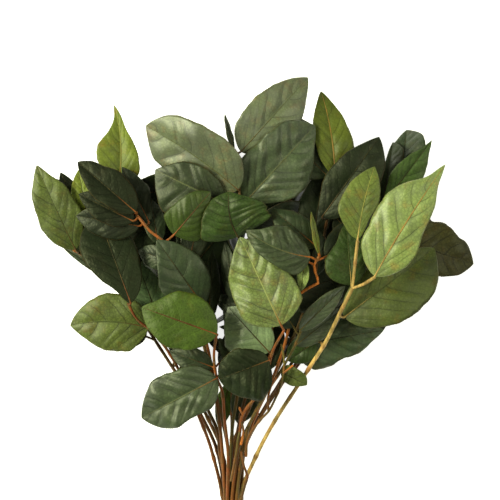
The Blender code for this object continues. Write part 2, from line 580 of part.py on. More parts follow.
class Arranger:
    """Finds the place of every leaf."""

    def __init__(self):
        self.thicket = Thicket()
        self.routes = {}
        self.blades = {name: [] for name in SPRIGS}
        self.core = tuple(tuple(place(x, y).xy) for x, y in CORE)
        self.missed = []
        for index, (name, sprig) in enumerate(SPRIGS.items()):
            self.routes[name] = sprig_routes(sprig, index)
            for k, route in enumerate(self.routes[name]):
                radius = (TWIG_DIAMETER if k else STEM_DIAMETER) / 2 + STEM_GUARD
                self.thicket.add_stem(route, radius, name)

    def touches(self, shape, outer, owner):
        """True where the shape touches a kept one, or its outer part touches its own stem."""
        thicket = self.thicket
        for k in thicket.near(shape):
            own_stem = thicket.kinds[k] == "stem" and thicket.owners[k] == owner
            tested = outer if own_stem else shape
            if tested is not None and tested.tree.overlap(thicket.shapes[k].tree):
                return True
        return False

    def stem_over(self, guard, leaf, root):
        """True where a stem passes over the leaf, other than those that it may lie under."""
        for owner, point in self.thicket.stems_in_plan(guard):
            own = owner == leaf.sprig and (point - root).length < OWN_STEM_REACH
            if not own and owner not in leaf.under and guard.tree.ray_cast(point, -UP)[0] is not None:
                return True
        return False

    def stays_hidden(self, guard, samples, above):
        """True where upper leaves cover every sample, or it lies in the dense middle and off the gaps."""
        for point in samples:
            covered = any(upper.tree.ray_cast(point, UP)[0] is not None for upper in above)
            if not covered and not inside(point.x, point.y, self.core):
                return False
        return all(guard.tree.ray_cast(place(x, y), UP)[0] is None for x, y in GAPS)

    def try_leaf(self, leaf, root, base, tip, roll, shown):
        """Keep the leaf in this pose if it touches nothing, covers no upper leaf and hides what it should."""
        if (base - root).length < PETIOLE_LEAST:
            return False
        blade = Blade(leaf, root, base, tip, roll)
        guard = blade.guard(GUARD_STATIONS)
        if guard.low[2] < TABLE_CLEARANCE and not leaf.foot:
            return False
        stalk = blade.stalk_guard()
        outer = blade.guard(OUTER_GUARD_STATIONS)
        if self.touches(guard, outer, leaf.sprig) or self.touches(stalk, None, leaf.sprig):
            return False
        samples = blade.samples()
        above = self.thicket.shown_over_or_under(guard)
        if any(upper.tree.ray_cast(point, -UP)[0] is not None for upper in above for point in samples):
            return False
        if shown and self.stem_over(guard, leaf, root):
            return False
        if not shown and not self.stays_hidden(guard, samples, above):
            return False
        self.thicket.add(guard, leaf.sprig, "shown" if shown else "hidden")
        self.thicket.add(stalk, leaf.sprig, "stalk")
        self.blades[leaf.sprig].append(blade)
        return True

    def set_listed(self, leaf, shown):
        """Place a listed leaf, by the smallest change to its own pose that is free."""
        flat_base = place(*leaf.base)
        flat_tip = place(*leaf.tip)
        root = nearest_in_plan(self.routes[leaf.sprig], flat_base)
        for rise, lift, roll in LISTED_TRIALS:
            base = Vector((flat_base.x, flat_base.y, root.z + (leaf.rise + rise) * MM))
            tip = Vector((flat_tip.x, flat_tip.y, base.z + (leaf.lift + lift) * MM))
            if leaf.foot:
                tip.z = RIM_THICKNESS / 2 + FOOT_CLEARANCE
            if self.try_leaf(leaf, root, base, tip, leaf.roll + roll, shown):
                return
        self.missed.append(leaf)

    def set_hidden(self, name, side, draw):
        """Place the hidden leaves of one sprig, on alternate sides of its stem, from its end back."""
        route = [point for point in self.routes[name][0] if point.y > NECK_Y]
        runs = [(end - start).length for start, end in zip(route, route[1:])]
        placed = 0
        reach = sum(runs) - HIDDEN_FROM_END
        while placed < SPRIGS[name].hidden and reach > 0:
            root, ahead = point_on(route, runs, reach)
            if root.y < HIDDEN_FROM_Y:
                break
            reach -= HIDDEN_SPACING * (1 + HIDDEN_SPACING_PLAY * (2 * draw.random() - 1))
            length = HIDDEN_LEAST + (HIDDEN_MOST - HIDDEN_LEAST) * draw.random()
            tilt = HIDDEN_TILT * (2 * draw.random() - 1)
            droop = HIDDEN_DROOP * draw.random()
            side = -side
            placed += self.set_one_hidden(name, root, ahead, length, side, tilt, droop)

    def set_one_hidden(self, name, root, ahead, length, side, tilt, droop):
        """Place one hidden leaf, turned, tipped or made smaller until it is free. Returns 1, or 0 if none is."""
        heading = math.atan2(ahead.y, ahead.x)
        for turn, pitch, roll, size in HIDDEN_TRIALS:
            pitch += droop
            roll += tilt
            angle = heading + side * (HIDDEN_SPREAD + turn)
            way = Vector((math.cos(angle), math.sin(angle), 0))
            run = length * size
            base = root + way * HIDDEN_PETIOLE + UP * (HIDDEN_PETIOLE * math.sin(pitch) + HIDDEN_STEP_UP)
            tip = base + way * (run * math.cos(pitch)) + UP * (run * math.sin(pitch))
            half = run * HIDDEN_SLIMNESS / GRID
            leaf = Leaf(name, (0, 0), (0, 0), half, half, fold=9, arch=5, plan=False)
            if self.try_leaf(leaf, root, base, tip, roll * side, False):
                return 1
        return 0

    def arrange(self):
        """Place every leaf: those that show, from the uppermost down, and then the hidden ones."""
        for leaf in SHOWN:
            self.set_listed(leaf, True)
        for leaf in FEET:
            self.set_listed(leaf, False)
        draw = random.Random(HIDDEN_SEED)
        for index, name in enumerate(SPRIGS):
            self.set_hidden(name, 1 if index % 2 else -1, draw)


def point_on(route, runs, reach):
    """The point and the heading at a distance along a route."""
    for (start, end), run in zip(zip(route, route[1:]), runs):
        if reach <= run:
            break
        reach -= run
    share = min(reach / run, 1.0)
    return start.lerp(end, share), (end - start).normalized()


def listed_trials():
    """Changes of rise, lift (mm) and roll (degrees) for a listed leaf, the smallest first."""
    trials = [(rise, lift, roll)
              for rise in (0, 2, -2, 4, 6, -4, 8)
              for lift in (0, 4, -4, 8, -8, 12, -12, 17, -17, 23, -23, 30, -30)
              for roll in (0, 8, -8, 16, -16, 26, -26)]
    trials.sort(key=lambda trial: abs(trial[0]) / 3 + abs(trial[1]) / 6 + abs(trial[2]) / 12)
    return trials


def hidden_trials():
    """Changes of heading, pitch, roll and size for a hidden leaf, the smallest first."""
    trials = [(math.radians(turn), math.radians(pitch), roll, size)
              for turn in (0, -20, 20, -38, 40, 70)
              for pitch in (0, -9, 9, -18, 18, -30, 30, 45)
              for roll in (0, 18, -18, 38, -38, 60)
              for size in (1.0, 0.85, 0.7)]
    trials.sort(key=lambda trial: abs(trial[0]) / 0.5 + abs(trial[1]) / 0.3 + abs(trial[2]) / 25
                + (1 - trial[3]) / 0.12)
    return trials


LISTED_TRIALS = listed_trials()
HIDDEN_TRIALS = hidden_trials()


def new_object(name, mesh):
    """Link a mesh to the scene as an object."""
    item = bpy.data.objects.new(name, mesh)
    bpy.context.scene.collection.objects.link(item)
    return item


def tube_object(name, route, start_diameter, end_diameter):
    """A closed tapering tube along a route."""
    curve = bpy.data.curves.new(name, "CURVE")
    curve.dimensions = "3D"
    curve.bevel_depth = 1.0
    curve.bevel_resolution = 1
    curve.use_fill_caps = True
    spline = curve.splines.new("POLY")
    spline.points.add(len(route) - 1)
    total = sum((end - start).length for start, end in zip(route, route[1:]))
    run = 0.0
    for k, point in enumerate(route):
        if k:
            run += (point - route[k - 1]).length
        spline.points[k].co = (*point, 1.0)
        spline.points[k].radius = (start_diameter + (end_diameter - start_diameter) * run / total) / 2
    item = new_object(name, curve)
    graph = bpy.context.evaluated_depsgraph_get()
    mesh = bpy.data.meshes.new_from_object(item.evaluated_get(graph))
    bpy.data.objects.remove(item)
    bpy.data.curves.remove(curve)
    work = bmesh.new()
    work.from_mesh(mesh)
    bmesh.ops.remove_doubles(work, verts=work.verts, dist=1e-6)
    bmesh.ops.recalc_face_normals(work, faces=work.faces)
    work.to_mesh(mesh)
    work.free()
    return new_object(name, mesh)


def leaf_object(name, blade):
    """A leaf with its stalk as one closed mesh."""
    rings = blade.rings()
    work = bmesh.new()
    verts = [work.verts.new(point) for ring in rings for point in ring]
    verts += [work.verts.new(point) for point in blade.tips(RIM_THICKNESS)]
    for face in start_faces() + ring_faces(len(rings)) + tip_faces(len(rings)):
        work.faces.new([verts[k] for k in face])
    bmesh.ops.recalc_face_normals(work, faces=work.faces)
    mesh = bpy.data.meshes.new(name)
    work.to_mesh(mesh)
    work.free()
    return new_object(name, mesh)


def fuse(body, pieces):
    """Join the pieces to the body in one solid."""
    group = bpy.data.collections.new(body.name + "_pieces")
    bpy.context.scene.collection.children.link(group)
    for piece in pieces:
        bpy.context.scene.collection.objects.unlink(piece)
        group.objects.link(piece)
    union = body.modifiers.new("join", "BOOLEAN")
    union.operation = "UNION"
    union.operand_type = "COLLECTION"
    union.collection = group
    union.solver = "MANIFOLD"
    graph = bpy.context.evaluated_depsgraph_get()
    mesh = bpy.data.meshes.new_from_object(body.evaluated_get(graph))
    body.modifiers.clear()
    body.data = mesh
    for piece in pieces:
        bpy.data.objects.remove(piece)
    bpy.data.collections.remove(group)


def material(name, colour, roughness):
    """A plain finish."""
    finish = bpy.data.materials.new(name)
    finish.use_nodes = True
    shader = finish.node_tree.nodes["Principled BSDF"]
    shader.inputs["Base Color"].default_value = (*colour, 1.0)
    shader.inputs["Roughness"].default_value = roughness
    shader.inputs["Metallic"].default_value = 0.0
    return finish


def build_sprig(name, routes, blades, finish):
    """One sprig: stem, twigs and leaves in one solid."""
    body = tube_object(name, routes[0], STEM_DIAMETER, STEM_END_DIAMETER)
    pieces = [tube_object(f"{name}_twig_{k}", route, STEM_END_DIAMETER, TWIG_DIAMETER)
              for k, route in enumerate(routes[1:])]
    pieces += [leaf_object(f"{name}_leaf_{k}", blade) for k, blade in enumerate(blades)]
    if pieces:
        fuse(body, pieces)
    body.name = name
    body.data.name = name
    body.data.materials.clear()
    body.data.materials.append(finish)
    return body


def band_outline(grown):
    """Points round the hexagon of stems, at a distance outside its corner stems' middles."""
    corners = [(2 * math.cos(math.radians(60 * k)), 2 * math.sin(math.radians(60 * k))) for k in range(6)]
    points = []
    for k, (x, z) in enumerate(corners):
        for step in range(BAND_CORNER_STEPS + 1):
            turn = math.radians(60 * k - 30 + 60 * step / BAND_CORNER_STEPS)
            points.append((x * STEM_PITCH + grown * math.cos(turn),
                           BUNDLE_HEIGHT + z * STEM_PITCH + grown * math.sin(turn)))
    return points


def build_band(finish):
    """The band round the stems, flat where it lies on the table."""
    inner = band_outline(STEM_DIAMETER / 2 + STEM_CLEARANCE)
    outer = band_outline(STEM_DIAMETER / 2 + STEM_CLEARANCE + BAND_THICKNESS)
    work = bmesh.new()
    loops = []
    for outline, y in ((outer, -1), (outer, 1), (inner, 1), (inner, -1)):
        loops.append([work.verts.new((x, y * BAND_WIDTH / 2, z)) for x, z in outline])
    for a, b in zip(loops, loops[1:] + loops[:1]):
        for k in range(len(a)):
            n = (k + 1) % len(a)
            work.faces.new((a[k], a[n], b[n], b[k]))
    bmesh.ops.recalc_face_normals(work, faces=work.faces)
    mesh = bpy.data.meshes.new("tie_band")
    work.to_mesh(mesh)
    work.free()
    band = new_object("tie_band", mesh)
    mesh.materials.append(finish)
    return band


def main():
    """Clear the scene and build the bundle."""
    for item in list(bpy.data.objects):
        bpy.data.objects.remove(item)
    leafy = material("salal_leaf", (0.055, 0.105, 0.035), 0.55)
    rubber = material("band_rubber", (0.52, 0.40, 0.25), 0.6)
    arranger = Arranger()
    arranger.arrange()
    for name in SPRIGS:
        build_sprig(name, arranger.routes[name], arranger.blades[name], leafy)
    build_band(rubber)
    return arranger


if __name__ == "__main__":
    main()
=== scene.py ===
"""The looks of a bundle of preserved salal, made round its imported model.

The bundle lies on a table and is seen from above. Its leaves and stems are laid out on a plan grid,
as in the model: leaves are listed from the uppermost down, and each is eased up, down or round its
midrib until it lies clear. Every sprig of the model is replaced by two finer pieces: its leaves, as
thin veined blades, and its wood, as tapering stems with leaf stalks, midribs, buds and scars.
"""

import logging
import math
import random
from dataclasses import dataclass, field
from enum import Enum

import bmesh
import bpy
import numpy as np
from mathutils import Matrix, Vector
from mathutils.bvhtree import BVHTree


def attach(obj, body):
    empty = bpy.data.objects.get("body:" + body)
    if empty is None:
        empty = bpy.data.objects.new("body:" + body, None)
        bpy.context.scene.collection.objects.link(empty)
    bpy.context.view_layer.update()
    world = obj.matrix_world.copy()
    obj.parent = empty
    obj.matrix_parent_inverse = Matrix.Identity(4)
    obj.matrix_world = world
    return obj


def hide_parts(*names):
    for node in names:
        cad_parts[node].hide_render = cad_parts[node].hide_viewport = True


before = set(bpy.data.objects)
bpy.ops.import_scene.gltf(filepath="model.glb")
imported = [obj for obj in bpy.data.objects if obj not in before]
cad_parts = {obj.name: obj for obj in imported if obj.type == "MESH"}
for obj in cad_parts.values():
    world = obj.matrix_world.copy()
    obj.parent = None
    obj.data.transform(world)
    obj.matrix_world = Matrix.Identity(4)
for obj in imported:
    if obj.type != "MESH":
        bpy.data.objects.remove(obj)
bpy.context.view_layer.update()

LOG = logging.getLogger("salal")
MM = 0.001
UP = Vector((0, 0, 1))
BODY = "root"

Colour = tuple[float, float, float]
GridPoint = tuple[float, float]
Widths = float | tuple[float, ...]
Value = float | bpy.types.NodeSocket


@dataclass(frozen=True)
class PlanGrid:
    """The plan grid seen from above, x to the right and y down, with heights in millimetres."""

    step: float = 0.00085
    x_zero: float = 232
    y_zero: float = 560

    def place(self, x: float, y: float, height: float = 0.0) -> Vector:
        """A grid point and a height as a point in metres."""
        return Vector(((x - self.x_zero) * self.step, (self.y_zero - y) * self.step, height * MM))


GRID = PlanGrid()


class Tone(Enum):
    """Leaf colours, linear red, green and blue."""

    BLACK_GREEN = (0.012, 0.018, 0.009)
    DARK = (0.019, 0.030, 0.013)
    DEEP = (0.033, 0.046, 0.021)
    DUSKY = (0.043, 0.051, 0.026)
    MID = (0.040, 0.074, 0.016)
    FRESH = (0.066, 0.112, 0.016)
    OLIVE = (0.110, 0.142, 0.030)
    LIME = (0.165, 0.205, 0.028)
    LIGHT = (0.190, 0.245, 0.068)
    BROWN = (0.046, 0.042, 0.012)


class Rib(Enum):
    """Colours of a midrib."""

    GREEN = (0.050, 0.070, 0.018)
    PALE = (0.330, 0.380, 0.130)
    YELLOW = (0.270, 0.260, 0.060)
    ORANGE = (0.360, 0.190, 0.045)
    RED = (0.085, 0.020, 0.010)
    GREY = (0.095, 0.115, 0.050)
    DARK = (0.010, 0.013, 0.005)


class Bark(Enum):
    """Colours of the stems."""

    RED_BROWN = (0.140, 0.036, 0.011)
    RUST = (0.260, 0.072, 0.017)
    GOLDEN = (0.148, 0.052, 0.013)
    GREY_BROWN = (0.085, 0.048, 0.018)
    STRAW = (0.520, 0.345, 0.110)
    ORANGE = (0.440, 0.125, 0.020)
    SCAR = (0.220, 0.070, 0.016)
    OLIVE = (0.110, 0.092, 0.024)


@dataclass(frozen=True)
class Sprig:
    """A sprig's place in the tied bundle, the route of its stem, and its bark low and high on it."""

    column: float
    row: int
    route: tuple
    twigs: tuple = ()
    hidden: int = 0
    bark: tuple[Bark, Bark] = (Bark.RED_BROWN, Bark.GREY_BROWN)
    stout: float = 1.0


@dataclass(frozen=True)
class Leaf:
    """One blade: grid points of base and tip, its half widths left and right, its pose and its colours.

    A half width is the greatest of an ovate outline, or five of them along the blade. They are those
    seen in plan, or those of the blade itself where plan is False.
    """

    sprig: str
    base: GridPoint
    tip: GridPoint
    left: Widths
    right: Widths
    rise: float = 5
    lift: float = 0
    roll: float = 0
    fold: float = 2
    arch: float = 4
    bow: float = 0
    peak: float = 0.42
    point: float = 0.85
    under: tuple = ()
    foot: bool = False
    plan: bool = True
    tone: Tone = Tone.DARK
    rib: Rib = Rib.DARK
    # shade: a factor on the tone, set leaf by leaf. Mostly it is the leaf's own lightness. Where it lifts a
    # dark glossy leaf well above its tone, it partly paints that leaf's sheen into its colour. On leaves
    # lying in shade it paints light onto them.
    shade: float = 1.0
    # veins: the colour of the vein lines as a share of the tone. Above one the lines are the veins' own paler
    # colour. Below one they are darker lines in the grooves, partly the veins' own colour and partly painted
    # shade in those grooves.
    veins: float = 0.6
    sheen: float = 0.5
    bulge: float = 1.0
    ripple: float = 1.0
    wider: tuple[float, float] = (1.0, 1.0)


SPRIGS = {
    "sprig_front_left": Sprig(-1, 2, (
        (228, 451, 44), (224.6, 422, 55), (222, 391, 68), (216.5, 377, 76), (214, 355, 86), (216.5, 335, 95)),
        bark=(Bark.RED_BROWN, Bark.RUST)),
    "sprig_front_middle": Sprig(0, 2, (
        (240, 431, 51), (243, 414, 60), (258, 394, 70), (267, 374, 80), (273, 350, 93), (284, 330, 105)),
        bark=(Bark.GOLDEN, Bark.RUST)),
    "sprig_right_low": Sprig(1, 2, (
        (247.5, 431, 49), (264, 397, 64), (280, 372, 75), (294, 347, 84), (301, 330, 89)), hidden=1,
        bark=(Bark.GOLDEN, Bark.OLIVE)),
    "sprig_left_high": Sprig(-1.5, 1, (
        (222, 451, 37), (219, 420, 46), (211, 365, 60), (202, 326, 68), (190, 290, 76), (172, 254, 82),
        (162, 240, 84), (150, 231, 85), (141, 220, 84), (135, 213, 81), (124, 200, 70), (116, 188, 57)),
        hidden=4, bark=(Bark.GOLDEN, Bark.RUST)),
    "sprig_crown": Sprig(-0.5, 1, (
        (232, 431, 44), (236, 403, 51), (243, 360, 60), (245, 320, 69), (241, 265, 80), (239, 237, 85),
        (240, 203, 87), (239, 188, 88), (236, 153, 88)), hidden=4,
        bark=(Bark.OLIVE, Bark.GREY_BROWN)),
    "sprig_front_right": Sprig(0.5, 1, (
        (243, 451, 37), (256, 415, 50), (270, 385, 62), (283, 350, 74), (292, 315, 87), (297, 297, 93),
        (310, 287, 97), (318, 283, 99), (315, 272, 102), (314, 265, 104), (319, 256, 106)), hidden=1,
        bark=(Bark.RUST, Bark.ORANGE)),
    "sprig_golden": Sprig(1.5, 1, (
        (256, 457, 38), (275, 421, 52), (300.5, 381.5, 70), (311, 365, 77), (326, 341, 88), (340, 312, 101),
        (352, 288, 112)), twigs=(
        ((352, 288), (354.5, 263, 117), (357, 241, 120)),
        ((352, 288), (363, 284, 116), (374, 277, 121))), bark=(Bark.STRAW, Bark.STRAW), stout=1.5),
    "sprig_left_low": Sprig(-2, 0, (
        (211, 450, 31), (200, 420, 41), (175, 363, 61), (154, 333, 72), (137, 319, 78), (128, 303, 82)),
        bark=(Bark.GOLDEN, Bark.RED_BROWN)),
    "sprig_far_left": Sprig(-1, 0, (
        (219.5, 451, 31), (217, 431, 35), (208, 411, 39), (196, 385, 44), (184, 361, 48), (150, 320, 52),
        (112, 283, 54), (95, 266, 53), (80, 254, 52)), twigs=(
        ((95, 266), (92, 248, 53), (90, 232, 53)),), hidden=4,
        bark=(Bark.GOLDEN, Bark.GREY_BROWN)),
    "sprig_middle": Sprig(0, 0, (
        (233, 445, 31), (244, 420, 41), (255, 396, 52), (264, 375, 60), (270, 354, 67), (272, 325, 73),
        (270, 295, 77)), hidden=5,
        bark=(Bark.GOLDEN, Bark.GOLDEN)),
    "sprig_right_high": Sprig(1, 0, (
        (238, 451, 30), (252, 420, 38), (270, 385, 46), (290, 345, 56), (308, 300, 66), (320, 255, 72),
        (328, 215, 75), (335, 177, 75)), hidden=5,
        bark=(Bark.OLIVE, Bark.GREY_BROWN)),
    "sprig_right_upper": Sprig(2, 0, (
        (244.5, 451, 27), (259, 420, 35), (280, 387, 42), (308, 347, 49), (340, 300, 56), (362, 260, 61),
        (376, 225, 64), (384, 204, 66), (393, 189, 67)), hidden=5,
        bark=(Bark.GOLDEN, Bark.GREY_BROWN)),
    "sprig_far_right": Sprig(1.5, -1, (
        (240, 452, 24), (255, 425, 28), (277, 391, 33), (310, 352, 38), (350, 310, 42), (385, 275, 46),
        (404, 250, 49)), hidden=5),
    "sprig_back_left": Sprig(-1.5, -1, (
        (217, 452, 24), (203, 420, 28), (181, 382, 32), (148, 330, 36), (117, 280, 38), (96, 238, 38),
        (88, 212, 38)), hidden=7),
    "sprig_back_middle": Sprig(-0.5, -1, (
        (228, 452, 24), (222, 420, 30), (212, 380, 38), (200, 330, 44), (188, 280, 48), (175, 230, 50),
        (167, 195, 50)), hidden=8,
        bark=(Bark.OLIVE, Bark.GREY_BROWN)),
    "sprig_back_right": Sprig(0.5, -1, (
        (235, 452, 24), (240, 420, 30), (250, 380, 38), (262, 330, 44), (275, 280, 48), (285, 230, 50),
        (292, 195, 50), (295, 165, 50)), hidden=7),
    "sprig_under_left": Sprig(-1, -2, (
        (222, 453, 18), (208, 420, 18), (185, 375, 19), (160, 325, 20), (140, 275, 19), (128, 225, 16),
        (122, 195, 13)), hidden=6),
    "sprig_under_middle": Sprig(0, -2, (
        (232, 453, 18), (232, 420, 18), (232, 370, 19), (230, 310, 20), (226, 250, 19), (222, 195, 15),
        (222, 165, 13)), hidden=7),
    "sprig_under_right": Sprig(1, -2, (
        (240, 453, 18), (258, 420, 18), (285, 375, 19), (315, 325, 20), (340, 275, 19), (352, 225, 16),
        (357, 195, 13)), hidden=6),
}

